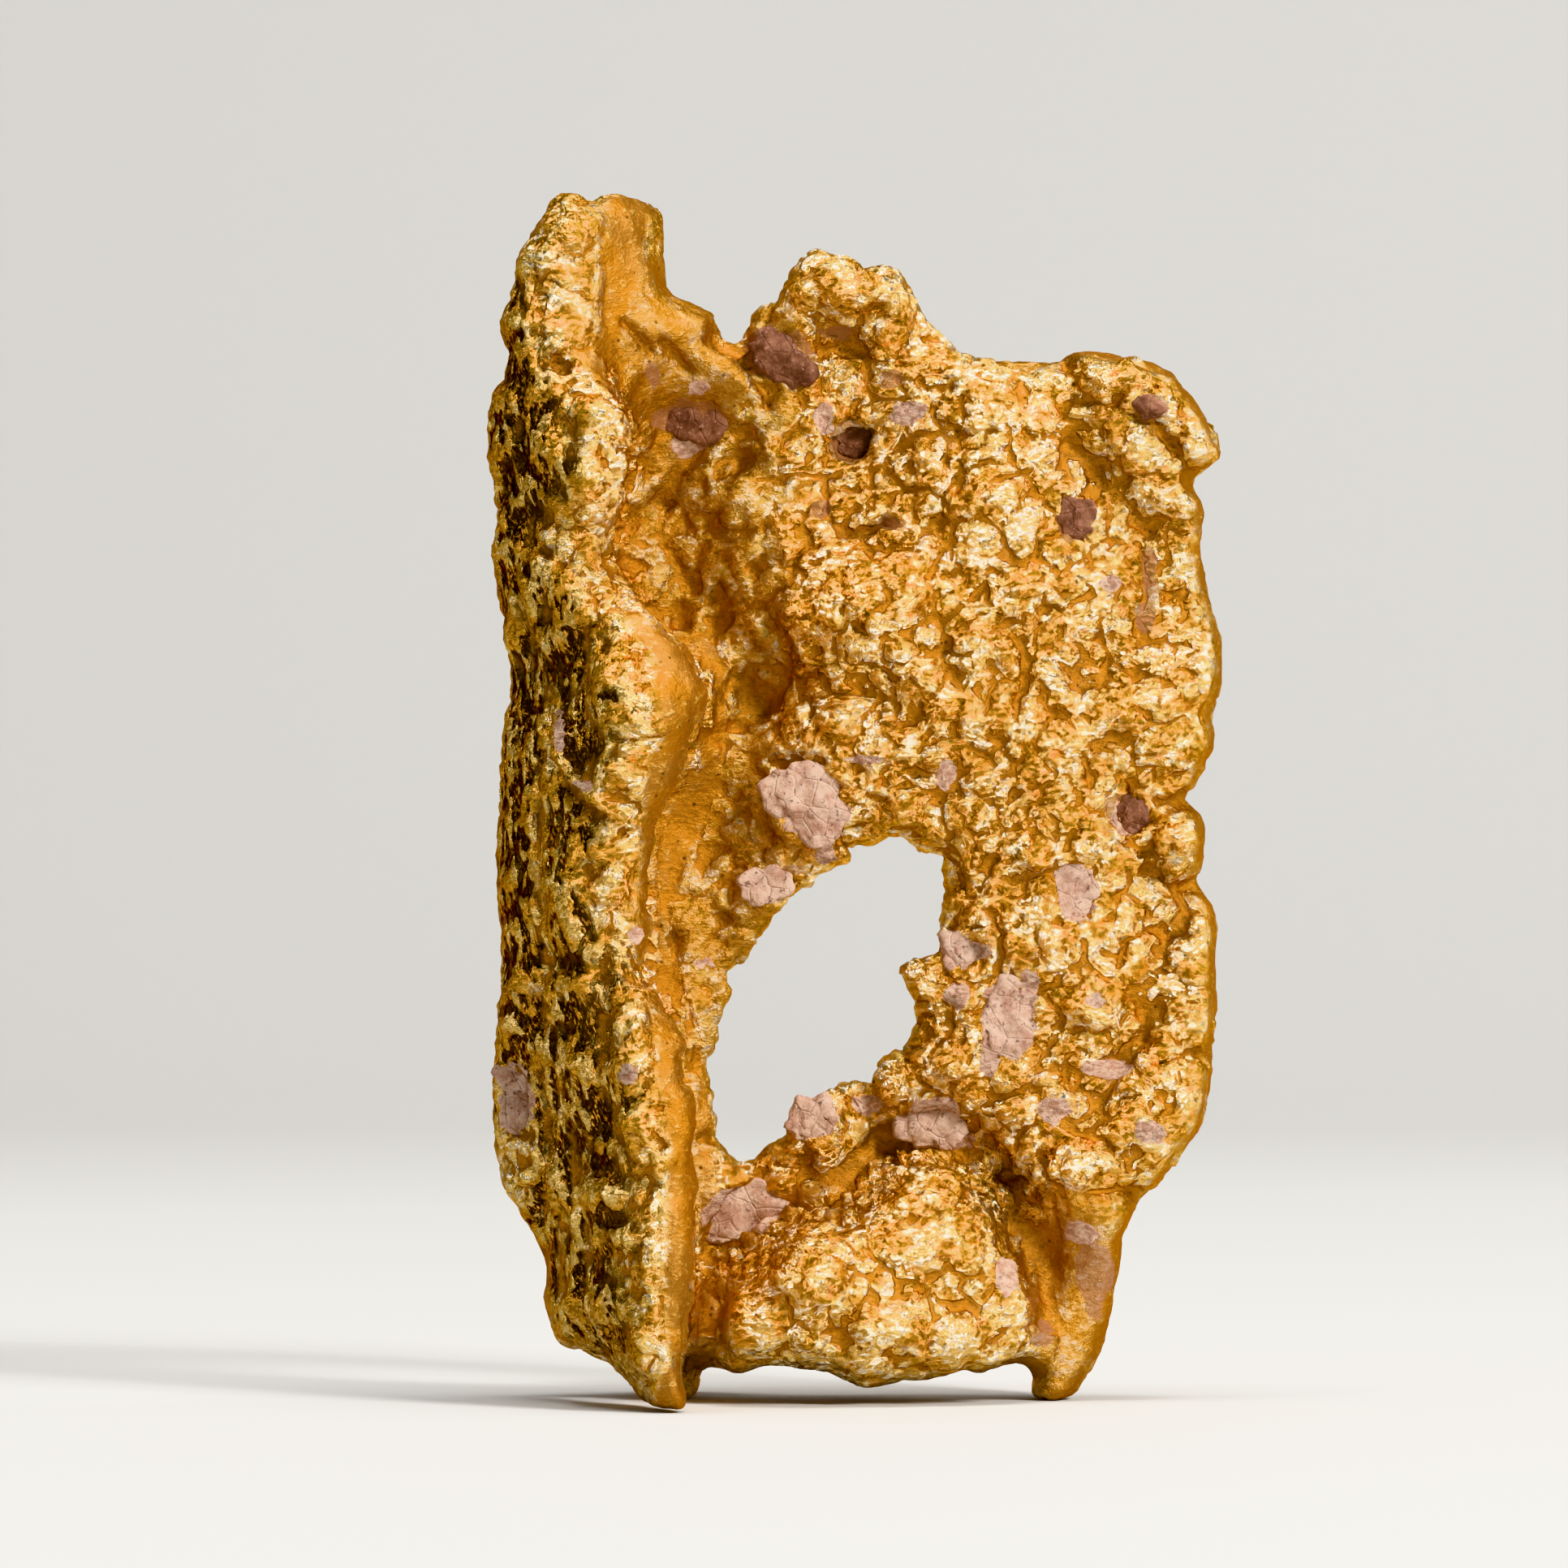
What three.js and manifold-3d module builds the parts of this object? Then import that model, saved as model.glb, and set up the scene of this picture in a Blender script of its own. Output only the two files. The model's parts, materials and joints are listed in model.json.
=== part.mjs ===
// A native gold specimen: a natural nugget with the form of a folded plate. A broad plate with a
// ragged window in it stands upright, its left edge turns forward into a thick flange, and a heavy
// mass swells from its foot. Clay and ironstone are lodged in pockets of the gold.
//
// Millimetres, +Z up. +X is to the right and the front faces -Y. The nugget stands on Z = 0 on
// small worn flats. Forms are placed by x and z, and by how far forward of the plate they lie.
import * as THREE from "three";
import Module from "manifold-3d";

// ---- Driving dimensions --------------------------------------------------------------------
const PLATE_CENTRE_Y = 2.2; // where the plate's middle depth lies, so that the origin is central
const PLATE_FRONT = 0; // the plate's front, forward of its middle depth line
const PLATE_BACK = -3.9; // the plate's back
const RIM_RADIUS = 1.9; // rounding of the plate's outer edge
const WINDOW_THIN = 1.5; // how much thinner the plate is at the window's edge
const WINDOW_TAPER = 3.2; // width of the belt over which it thins
const FRONT_SHARE = 0.3; // how much of that thinning is taken from the front
const SCOOP_EDGE_X = -5.5; // where the scooped inner face of the top corner begins
const SCOOP_WIDTH = 9;
const SCOOP_RISE = 4.4; // how far it rises towards the flange
const SCOOP_CURVE = 1.5; // 1 is a flat ramp, more is hollower
const SCOOP_LOW_Z = 45.5;
const SCOOP_FADE = 5; // height over which it dies out below
const LEAST_THICKNESS = 2.5; // of the plate, wherever front and back both dip
const FILLET = 1.6; // rounding where flange and plate meet
const OUTLINE_MARGIN = 0.35; // how far the gold may stand past the outline
const OUTLINE_ROUNDING = 1.0; // rounding where the outline cuts a mass short
const CELL = 1.52; // size of the facets
const POCKET_GAP = 0.3; // clearance round a lodged stone

// The outline seen from the front, clockwise from the top of the flange: x, z.
const OUTLINE = [
  [-14.8, 60.0], [-13.3, 59.7], [-11.8, 59.9], [-10.1, 59.6], [-9.3, 58.6], [-9.4, 56.3],
  [-9.0, 55.0], [-7.4, 54.3], [-6.6, 53.5], [-6.05, 52.7], [-5.5, 53.7], [-4.9, 54.5],
  [-3.9, 55.2], [-2.9, 56.9], [-2.0, 57.4], [-0.4, 57.0], [0.4, 56.5], [1.4, 56.6],
  [2.6, 55.8], [3.1, 54.6], [4.2, 53.2], [5.7, 52.0], [7.8, 51.8], [10.1, 51.75],
  [10.9, 52.25], [12.6, 52.2], [14.6, 51.8], [16.2, 50.8], [17.5, 48.9], [18.3, 47.3],
  [17.6, 46.3], [16.6, 45.8], [17.3, 44.6], [17.1, 42.4], [17.5, 40.4], [18.2, 38.0],
  [18.45, 36.5], [18.1, 35.0], [17.7, 34.1], [17.9, 33.0], [17.4, 31.4], [16.3, 30.0],
  [17.3, 29.1], [17.35, 27.0], [16.8, 25.8], [17.7, 24.7], [18.0, 22.5], [18.0, 19.0],
  [17.75, 16.5], [17.3, 13.8], [16.0, 11.7], [14.2, 10.0], [13.3, 8.2], [13.1, 6.2],
  [12.75, 4.2], [12.1, 1.4], [11.2, -0.8], [9.8, -1.6], [8.7, -1.2], [8.2, 1.2],
  [6.4, 1.35], [4.3, 1.25], [1.0, 0.75], [-1.4, 1.5], [-3.9, 1.8], [-5.9, 1.3],
  [-7.4, 1.4], [-7.6, -0.4], [-8.5, -1.6], [-9.9, -1.4], [-11.0, 0.4], [-12.4, 2.0], [-14.4, 2.7],
  [-15.3, 4.2], [-15.65, 5.6], [-15.6, 7.4], [-16.8, 9.4], [-17.85, 11.2], [-18.1, 14.5],
  [-17.9, 19.5], [-17.9, 24.5], [-17.95, 28.0], [-17.7, 32.0], [-17.2, 36.0], [-17.7, 39.2],
  [-18.3, 42.3], [-17.95, 44.2], [-18.6, 47.4], [-18.3, 49.6], [-17.45, 51.4], [-17.75, 53.6],
  [-17.1, 55.6], [-16.3, 58.0],
];

// The window through the plate, clockwise from its top.
const WINDOW = [
  [2.0, 27.95], [3.1, 27.2], [4.1, 26.9], [4.35, 25.6], [4.05, 23.6], [4.0, 22.3],
  [2.5, 22.0], [1.95, 21.2], [2.8, 19.6], [2.7, 18.2], [1.2, 17.0], [0.6, 15.9],
  [-0.7, 15.9], [-2.6, 14.6], [-4.0, 13.0], [-5.1, 12.1], [-6.0, 11.9], [-6.9, 13.1],
  [-7.1, 15.4], [-7.2, 17.0], [-6.8, 18.8], [-6.3, 20.8], [-5.2, 22.4], [-4.0, 24.2],
  [-2.2, 25.5], [-1.0, 26.4], [-0.1, 27.4],
];

// The flange, from the foot up: z, then x, forward and radius of its root, and of its front ridge.
const FLANGE = [
  [-1, -14.0, 2.0, 1.8, -9.2, 10.6, 1.3],
  [3, -14.2, 1.0, 2.0, -9.4, 11.4, 1.5],
  [8, -14.6, 0.5, 2.2, -9.2, 11.6, 1.6],
  [13, -15.6, 0, 2.4, -9.3, 11.2, 1.6],
  [18, -15.8, 0, 2.3, -10.1, 10.4, 1.6],
  [22, -15.6, 0, 2.3, -12.0, 8.2, 1.6],
  [27, -15.6, 0, 2.3, -12.0, 7.6, 2.0],
  [31, -15.4, 0, 2.3, -10.9, 8.8, 2.3],
  [35, -15.1, 0, 2.2, -9.6, 9.4, 2.5],
  [38, -15.3, 0, 2.3, -10.8, 7.8, 2.0],
  [42, -15.8, 0, 2.5, -14.0, 4.6, 1.9],
  [45, -15.9, 0, 2.6, -13.3, 5.2, 1.9],
  [48.5, -16.0, 0, 2.6, -12.5, 5.8, 1.9],
  [52, -15.5, 0, 2.3, -14.8, 3.8, 1.9],
  [56, -15.0, -0.3, 2.4, -14.7, 2.6, 2.0],
  [61, -14.0, -0.5, 2.4, -13.4, 1.4, 2.2],
];

// Raised sheets and masses of the front: name, height, softness of the edge, outline.
const RAISED = [
  ["foot mass", 4.6, 2.2, [
    [-8.4, -1], [-8.0, 5.6], [-5.6, 7.0], [-3.4, 8.8], [-1.2, 9.2], [0.4, 10.4],
    [1.8, 11.9], [3.6, 12.0], [5.0, 11.2], [6.4, 9.6], [7.9, 7.6], [8.6, 5.0], [8.6, -1],
  ]],
  ["corner knob", 1.7, 1.6, [
    [10.0, 53.5], [10.4, 50.6], [11.4, 49.5], [13.2, 49.2], [14.8, 48.2], [15.8, 46.4],
    [16.6, 44.6], [19.5, 45.5], [19.5, 50], [15, 54],
  ]],
  ["cleft sheet", 1.5, 1.4, [
    [-5.7, 54.2], [-4.9, 51.8], [-4.3, 50.4], [-4.4, 49.2], [-6.2, 48.8], [-8.2, 50.4],
    [-10.5, 52.2], [-10.5, 56.5], [-7, 57],
  ]],
  ["middle dome", 1.2, 1.8, [
    [-4.8, 39.0], [-3.2, 41.0], [-0.6, 42.2], [2.6, 42.3], [3.7, 41.0], [3.3, 38.4],
    [1.4, 36.8], [-1.8, 36.6],
  ]],
  ["edge strip", 0.9, 1.4, [
    [12.0, 47.8], [14.2, 45.4], [15.6, 43.0], [16.6, 40.4], [16.6, 36.0], [16.2, 33.0],
    [16.0, 26.5], [15.4, 21.0], [14.2, 17.6], [13.0, 15.6], [13.6, 12.4], [19.5, 10],
    [20, 46],
  ]],
  ["leg", 1.1, 1.8, [
    [9.4, 12.6], [12.6, 11.6], [15.0, 9.8], [14.0, 4], [12.6, -1], [8.6, -1],
    [9.6, 4.5], [9.8, 8.4],
  ]],
];

// Long valleys of the front: name, depth, width, route.
const VALLEYS = [
  [
    "flange valley", 1.4, 5.0,
    [[-8.4, 49], [-9.0, 46], [-9.8, 42], [-8.2, 38.6], [-6.0, 35], [-6.4, 30], [-8.4, 25], [-9.0, 19]],
  ],
  [
    "edge groove", 1.0, 1.8,
    [[10.6, 47.1], [12.1, 46.3], [13.5, 45.0], [14.6, 43.4], [15.6, 41.2], [16.1, 38.8]],
  ],
  ["foot trough", 1.7, 2.8, [[-8.0, 6.9], [-5.8, 8.0], [-3.2, 10.2], [-0.6, 11.2], [1.2, 12.8]]],
  ["trough end", 1.3, 2.4, [[1.2, 12.8], [4.2, 13.0], [6.6, 11.6], [8.0, 9.8], [9.2, 8.2], [9.9, 6.4]]],
  ["rim channel", 0.8, 2.0, [[15.5, 25.4], [14.9, 21.6], [14.3, 18.4], [13.0, 16.8], [10.6, 16.4]]],
  ["middle ledge", 0.7, 1.6, [[3.6, 43.0], [0.6, 43.0], [-2.2, 42.4], [-4.6, 40.4]]],
  ["edge crack", 0.9, 1.2, [[17.4, 30.0], [15.2, 29.8], [13.4, 29.4]]],
];

// Rounded lumps (height above 0) and pits (below 0) of the front: x, z, radius, height.
const FRONT_LUMPS = [
  [7.5, 38.0, 10.0, 1.3], [10.0, 20.5, 7.0, 0.9], [-1.5, 51.0, 5.0, -0.5], [-8.4, 34.2, 2.7, 2.4],
  [-0.5, 4.6, 4.6, 1.5],
  [-2.2, 6.8, 2.5, 1.9], [4.2, 9.6, 3.2, 1.3], [-5.4, 3.8, 2.6, 1.2], [1.8, 3.4, 2.6, 1.0],
  [6.0, 3.2, 2.2, 0.9], [11.2, 11.2, 2.4, 1.3], [11.8, 6.0, 2.4, 0.7], [8.7, 11.2, 1.5, -1.7],
  [6.9, 12.0, 1.3, -1.2], [10.8, 1.2, 1.8, 0.9], [-1.6, 55.4, 2.8, 1.7], [1.8, 55.2, 2.0, 1.0],
  [-0.2, 52.8, 2.4, -1.0], [0.5, 45.6, 2.1, -1.3], [0.0, 48.0, 1.3, -1.2], [5.8, 44.0, 2.6, 1.0],
  [6.0, 50.0, 3.0, 0.7], [-5.4, 35.2, 2.0, -1.7], [-8.9, 39.2, 1.5, -1.2], [-6.8, 40.2, 1.4, -1.2],
  [-8.6, 43.5, 1.5, -1.2], [1.4, 31.6, 2.2, 0.9], [5.6, 34.4, 2.4, 0.9], [8.4, 38.6, 2.4, 0.9],
  [3.4, 37.0, 1.8, 0.6], [11.8, 36.6, 2.6, -0.7], [13.4, 34.6, 2.0, 1.0], [10.4, 41.0, 2.4, 0.7],
  [8.6, 32.6, 1.9, 0.9], [11.6, 28.4, 2.2, 0.9], [16.0, 27.8, 1.7, 1.2], [9.2, 27.0, 1.7, 0.9],
  [5.0, 26.0, 1.6, 0.6], [9.6, 23.2, 2.4, 0.9], [12.8, 22.6, 2.2, 0.7], [3.0, 21.0, 1.8, 0.9],
  [12.6, 19.4, 2.2, 0.7], [5.6, 17.6, 2.4, 0.7], [9.4, 14.4, 2.2, 1.0], [14.8, 13.8, 2.6, 1.0],
  [2.2, 15.2, 2.2, 0.7], [-2.4, 12.0, 2.0, 0.6], [-7.0, 29.0, 2.6, -0.7], [-3.0, 33.0, 2.4, 0.6],
  [-1.2, 28.8, 2.0, 0.6], [12.6, 48.2, 2.4, 0.6], [8.4, 46.4, 2.6, 0.7], [-3.4, 45.6, 2.6, -0.6],
];

// Lumps and hollows of the back, the heel among them: x, z, radius, height.
const BACK_LUMPS = [
  [-9.4, 0.0, 4.6, 4.8], [-8.5, 5.5, 4.6, 2.2], [3.0, 7.0, 6.0, 1.6], [10.5, 6.0, 4.0, 0.9],
  [-13.0, 14.0, 5.0, 1.4], [-13.5, 27.0, 6.0, 1.6], [-14.0, 42.0, 5.5, 1.5], [-12.5, 54.0, 5.0, 1.6],
  [-5.0, 35.0, 6.0, -1.0], [4.5, 39.0, 5.5, 1.5], [13.0, 46.0, 4.6, 1.2], [7.5, 31.5, 3.6, -0.8],
  [11.5, 22.0, 5.0, 1.3], [12.0, 34.0, 4.0, 0.9], [-1.0, 50.0, 4.6, 1.3], [5.5, 47.5, 3.2, -0.7],
  [-8.5, 46.0, 4.0, -0.9], [7.5, 14.5, 3.6, 1.0], [-1.0, 43.5, 3.0, -0.6], [15.0, 15.5, 3.2, -0.6],
];

// Lumps and dents of the flange and the rims: x, forward, z, radius, height.
const FLANGE_LUMPS = [
  [-18.0, 2.0, 47.6, 2.6, 0.9], [-17.6, 2.0, 53.4, 2.0, 0.7], [-18.0, 1.0, 42.4, 2.2, 0.6],
  [-17.3, 1.0, 51.4, 1.8, -0.6], [-17.6, 1.5, 36.6, 3.0, -0.7], [-16.0, 6.5, 37.0, 3.2, -0.8],
  [-17.4, 2.6, 15.0, 3.4, -1.3], [-17.6, 1.4, 11.6, 1.8, 0.5], [-15.2, 6.6, 31.5, 3.2, 0.8],
  [-14.6, 7.4, 24.4, 3.2, 0.8], [-14.0, 6.4, 21.4, 1.7, -1.0], [-14.6, 7.0, 17.4, 3.0, 0.7],
  [-13.4, 8.6, 12.4, 2.8, -0.6], [-13.0, 8.8, 8.6, 2.8, 0.8], [-14.4, 6.0, 6.0, 2.6, 0.7],
  [-12.4, 8.6, 3.6, 2.4, -0.5], [-13.0, 8.0, 35.0, 2.4, 0.6], [-14.8, 5.4, 43.6, 2.2, -0.6],
  [-13.4, 6.2, 46.6, 2.2, 0.6], [-15.0, 4.4, 51.6, 1.8, -0.7], [-14.4, 5.0, 57.6, 2.6, 0.6],
  [-8.0, 8.0, 36.0, 2.8, 1.2], [-10.6, 5.6, 38.8, 2.0, -0.8],
  [-9.6, 7.0, 27.6, 2.2, -0.6], [-9.8, 6.0, 31.6, 2.4, 0.7], [-10.4, 6.0, 14.0, 2.6, -0.6],
];

// Clay and ironstone lodged in pockets: name, x, z, half width, half height, turn in degrees.
const STONES = [
  ["ironstone_cleft", -3.9, 52.1, 1.9, 0.95, -25],
  ["ironstone_upper_left", -8.4, 49.0, 1.75, 0.8, -12],
  ["ironstone_round_pit", -0.3, 47.8, 0.9, 1.0, 0],
  ["ironstone_corner_knob", 14.6, 49.5, 1.0, 0.7, -25],
  ["ironstone_right_pebble", 10.9, 43.9, 0.95, 0.95, 0],
  ["ironstone_edge_wedge", 13.5, 29.2, 1.0, 1.1, 10],
  ["clay_above_window", -2.4, 29.8, 1.8, 1.85, 0],
  ["clay_trough_block", -5.7, 9.4, 2.2, 1.25, 35],
  ["clay_flange_pocket", -16.7, 15.2, 1.0, 1.7, 0],
  ["clay_right_of_window", 10.8, 25.4, 0.85, 1.5, 12],
  ["clay_lower_right", 7.7, 18.9, 1.1, 2.0, -20],
  ["clay_below_window", 3.8, 13.6, 1.6, 0.85, 0],
  ["clay_window_edge", 5.3, 22.3, 0.95, 0.7, 0],
  ["clay_window_lower_lip", -2.2, 13.9, 1.2, 0.7, 30],
  ["clay_window_upper_lip", -4.5, 25.6, 0.95, 0.65, -12],
];
const STONE_DEPTH = 0.95; // half depth of a lodged stone
const STONE_FACETS = 1; // times the 20 faces of an icosahedron are divided

// ---- The shape of the gold ------------------------------------------------------------------
const clamp = (v, low, high) => Math.min(Math.max(v, low), high);
const smoothStep = (v) => v * v * (3 - 2 * v);

// The lower of two values, rounded over the width k where they cross.
function softMin(a, b, k) {
  const h = Math.max(k - Math.abs(a - b), 0) / k;
  return Math.min(a, b) - (h * h * k) / 4;
}

// A closed spline through the points, as [x, z] pairs.
function closedSpline(points, count) {
  const knots = points.map(([x, z]) => new THREE.Vector3(x, 0, z));
  const curve = new THREE.CatmullRomCurve3(knots, true, "centripetal");
  return curve.getPoints(count).slice(0, -1).map((p) => [p.x, p.z]);
}

// Distance from x, z to a chain of points.
function distanceToChain(x, z, chain, closed) {
  let best = Infinity;
  for (let i = closed ? 0 : 1; i < chain.length; i++) {
    const [ax, az] = chain[(i + chain.length - 1) % chain.length];
    const [bx, bz] = chain[i];
    const [dx, dz] = [bx - ax, bz - az];
    const t = clamp(((x - ax) * dx + (z - az) * dz) / (dx * dx + dz * dz || 1), 0, 1);
    best = Math.min(best, Math.hypot(x - ax - t * dx, z - az - t * dz));
  }
  return best;
}

// Distance to a closed outline, positive inside it.
function depthInside(x, z, ring) {
  let inside = false;
  ring.forEach(([bx, bz], i) => {
    const [ax, az] = ring[(i + ring.length - 1) % ring.length];
    if (az > z !== bz > z && x < ax + ((bx - ax) * (z - az)) / (bz - az)) inside = !inside;
  });
  return distanceToChain(x, z, ring, true) * (inside ? 1 : -1);
}

const outline = closedSpline(OUTLINE, 360);
const windowRing = closedSpline(WINDOW, 120);

// A dome of the given radius and height, at the distance r from its middle.
const dome = (r, radius, height) => height * smoothStep(clamp(1 - r / radius, 0, 1));

function lumps(list, x, z) {
  const heightOf = ([lx, lz, radius, height]) => dome(Math.hypot(x - lx, z - lz), 1.6 * radius, height);
  return list.reduce((sum, lump) => sum + heightOf(lump), 0);
}

// How far forward the plate's front lies at x, z. Near the top it scoops up to meet the flange.
function frontOf(x, z) {
  let forward = PLATE_FRONT + lumps(FRONT_LUMPS, x, z);
  const across = clamp((SCOOP_EDGE_X - x) / SCOOP_WIDTH, 0, 1);
  forward += SCOOP_RISE * across ** SCOOP_CURVE * smoothStep(clamp((z - SCOOP_LOW_Z) / SCOOP_FADE, 0, 1));
  for (const [, height, softness, ring] of RAISED)
    forward += height * smoothStep(clamp(0.5 + depthInside(x, z, ring) / softness, 0, 1));
  for (const [, depth, width, route] of VALLEYS)
    forward -= dome(distanceToChain(x, z, route, false), width, depth);
  return forward;
}

const backOf = (x, z, front) => Math.min(PLATE_BACK - lumps(BACK_LUMPS, x, z), front - LEAST_THICKNESS);

// All that depends on x and z alone, worked out once for each column of cells.
function columnAt(x, z) {
  const toOutline = depthInside(x, z, outline);
  const toWindow = -depthInside(x, z, windowRing);
  const thin = WINDOW_THIN * (1 - smoothStep(clamp(toWindow / WINDOW_TAPER, 0, 1)));
  const front = frontOf(x, z);
  return {
    edge: Math.min(toOutline, toWindow),
    toOutline,
    front: front - thin * FRONT_SHARE,
    back: backOf(x, z, front) + thin * (1 - FRONT_SHARE),
    flange: flangeAt(z),
    stamps: FLANGE_LUMPS.filter((s) => Math.abs(s[2] - z) < s[3] && Math.abs(s[0] - x) < s[3]),
    z,
  };
}

// The flange's section at the height z: its root and its ridge.
function flangeAt(z) {
  const above = clamp(FLANGE.findIndex((s) => s[0] > z), 1, FLANGE.length - 1);
  const [low, high] = [FLANGE[above - 1], FLANGE[above]];
  const t = smoothStep(clamp((z - low[0]) / (high[0] - low[0]), 0, 1));
  return low.map((v, i) => v + (high[i] - v) * t);
}

// Distance outside a slab between front and back, rounded at the edge.
function plateField(c, forward) {
  const half = (c.front - c.back) / 2;
  const radius = Math.min(RIM_RADIUS, half * 0.95);
  const a = Math.abs(forward - (c.front + c.back) / 2) - half + radius;
  const b = radius - c.edge;
  return Math.hypot(Math.max(a, 0), Math.max(b, 0)) + Math.min(Math.max(a, b), 0) - radius;
}

// Distance outside the flange, a sheet that tapers from its root to its ridge.
function flangeField(section, x, forward) {
  const [, rootX, rootF, rootR, ridgeX, ridgeF, ridgeR] = section;
  const [dx, df] = [ridgeX - rootX, ridgeF - rootF];
  const t = clamp(((x - rootX) * dx + (forward - rootF) * df) / (dx * dx + df * df), 0, 1);
  return Math.hypot(x - rootX - t * dx, forward - rootF - t * df) - (rootR + (ridgeR - rootR) * t);
}

// Distance outside the gold, below 0 within it.
function goldField(c, x, forward) {
  let joined = softMin(plateField(c, forward), flangeField(c.flange, x, forward), FILLET);
  for (const [sx, sf, sz, radius, height] of c.stamps)
    joined -= dome(Math.hypot(x - sx, forward - sf, c.z - sz), radius, height);
  return -softMin(-joined, c.toOutline + OUTLINE_MARGIN, OUTLINE_ROUNDING);
}

// ---- From the field to facets ---------------------------------------------------------------
const CORNERS = [0, 1, 2, 3, 4, 5, 6, 7].map((n) => [n & 1, (n >> 1) & 1, n >> 2]);
const LEAST_SHARE = 0.1; // nearest a crossing may come to a corner, as a share of a cell

// Whether a cell's corners of one kind, given as bits, hang together along the cell's edges.
function joinedUp(bits) {
  const first = [0, 1, 2, 3, 4, 5, 6, 7].find((n) => bits & (1 << n));
  if (first === undefined) return true;
  let reached = 1 << first;
  for (let pass = 0; pass < 7; pass++)
    for (let n = 0; n < 8; n++)
      if (reached & (1 << n)) for (const bit of [1, 2, 4]) reached |= bits & (1 << (n ^ bit));
  return reached === bits;
}

const simpleCell = Array.from({ length: 256 }, (_, code) => joinedUp(code) && joinedUp(255 - code));

// Fills single corners until the surface passes through each cell only once.
function untangle(values, at, [nx, ny, nz]) {
  let filled = true;
  while (filled) {
    filled = false;
    for (let k = 0; k < nz; k++)
      for (let j = 0; j < ny; j++)
        for (let i = 0; i < nx; i++) {
          const here = CORNERS.map((p) => at(i + p[0], j + p[1], k + p[2]));
          const code = here.reduce((sum, index, n) => sum + (values[index] < 0) * (1 << n), 0);
          if (simpleCell[code]) continue;
          const empty = here.filter((index) => values[index] > 0);
          const fixes = empty.filter((index) => simpleCell[code | (1 << here.indexOf(index))]);
          const weakest = (fixes.length ? fixes : empty).reduce((p, q) => (values[p] < values[q] ? p : q));
          values[weakest] *= -1;
          filled = true;
        }
  }
}

// Gives each cell that the surface crosses a vertex, and joins the four round each crossed edge.
function facets(field, low, counts, cell) {
  const [nx, ny, nz] = counts;
  const values = new Float64Array((nx + 1) * (ny + 1) * (nz + 1));
  const at = (i, j, k) => (k * (ny + 1) + j) * (nx + 1) + i;
  for (let k = 0; k <= nz; k++)
    for (let i = 0; i <= nx; i++) {
      const [x, z] = [low[0] + i * cell, low[2] + k * cell];
      const column = columnAt(x, z);
      for (let j = 0; j <= ny; j++) {
        const value = field(column, x, PLATE_CENTRE_Y - low[1] - j * cell);
        values[at(i, j, k)] = Math.sign(value || 1) * Math.max(Math.abs(value), LEAST_SHARE * cell);
      }
    }
  untangle(values, at, counts);
  const positions = [];
  const vertexOf = new Map();
  for (let k = 0; k < nz; k++)
    for (let j = 0; j < ny; j++)
      for (let i = 0; i < nx; i++) {
        const sum = [0, 0, 0];
        let crossings = 0;
        CORNERS.forEach((p, n) =>
          [1, 2, 4].forEach((bit) => {
            if (n & bit) return;
            const q = CORNERS[n | bit];
            const a = values[at(i + p[0], j + p[1], k + p[2])];
            const b = values[at(i + q[0], j + q[1], k + q[2])];
            if (a < 0 === b < 0) return;
            const t = a / (a - b);
            for (let m = 0; m < 3; m++) sum[m] += p[m] + (q[m] - p[m]) * t;
            crossings++;
          }),
        );
        if (!crossings) continue;
        vertexOf.set(at(i, j, k), positions.length / 3);
        [i, j, k].forEach((base, m) => positions.push(low[m] + (base + sum[m] / crossings) * cell));
      }
  const triangles = [];
  const steps = [[1, 0, 0], [0, 1, 0], [0, 0, 1]];
  for (let k = 1; k < nz; k++)
    for (let j = 1; j < ny; j++)
      for (let i = 1; i < nx; i++)
        steps.forEach((along, m) => {
          const a = values[at(i, j, k)] < 0;
          const b = values[at(i + along[0], j + along[1], k + along[2])] < 0;
          if (a === b) return;
          const [u, v] = [steps[(m + 1) % 3], steps[(m + 2) % 3]];
          const back = (s, t) => {
            const corner = [i, j, k].map((index, n) => index - s * u[n] - t * v[n]);
            return vertexOf.get(at(...corner));
          };
          const quad = [back(1, 1), back(0, 1), back(0, 0), back(1, 0)];
          if (b) quad.reverse();
          const gap = (p, q) =>
            Math.hypot(...[0, 1, 2].map((n) => positions[3 * p + n] - positions[3 * q + n]));
          const [p, q, r, s] = quad;
          if (gap(p, r) <= gap(q, s)) triangles.push(p, q, r, p, r, s);
          else triangles.push(p, q, s, q, r, s);
        });
  return { positions, triangles };
}

// ---- Solids ---------------------------------------------------------------------------------
const wasm = await Module();
wasm.setup();

const solidOf = (positions, triangles) =>
  new wasm.Manifold(new wasm.Mesh({
    numProp: 3,
    vertProperties: new Float32Array(positions),
    triVerts: new Uint32Array(triangles),
  }));

// A three.js geometry as a solid, its vertices merged by place.
function solidFromGeometry(geometry) {
  const source = geometry.index ? geometry.toNonIndexed() : geometry;
  const place = source.getAttribute("position");
  const seen = new Map();
  const positions = [];
  const triangles = [];
  for (let i = 0; i < place.count; i++) {
    const p = [place.getX(i), place.getY(i), place.getZ(i)];
    const key = p.map((v) => Math.round(v * 1e4)).join();
    if (!seen.has(key)) {
      seen.set(key, positions.length / 3);
      positions.push(...p);
    }
    triangles.push(seen.get(key));
  }
  return solidOf(positions, triangles);
}

function meshOf(name, solid, material) {
  const found = solid.getMesh();
  const geometry = new THREE.BufferGeometry();
  geometry.setAttribute("position", new THREE.BufferAttribute(new Float32Array(found.vertProperties), 3));
  geometry.setIndex(new THREE.BufferAttribute(new Uint32Array(found.triVerts), 1));
  geometry.computeVertexNormals();
  const mesh = new THREE.Mesh(geometry, material);
  mesh.name = name;
  return mesh;
}

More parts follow.
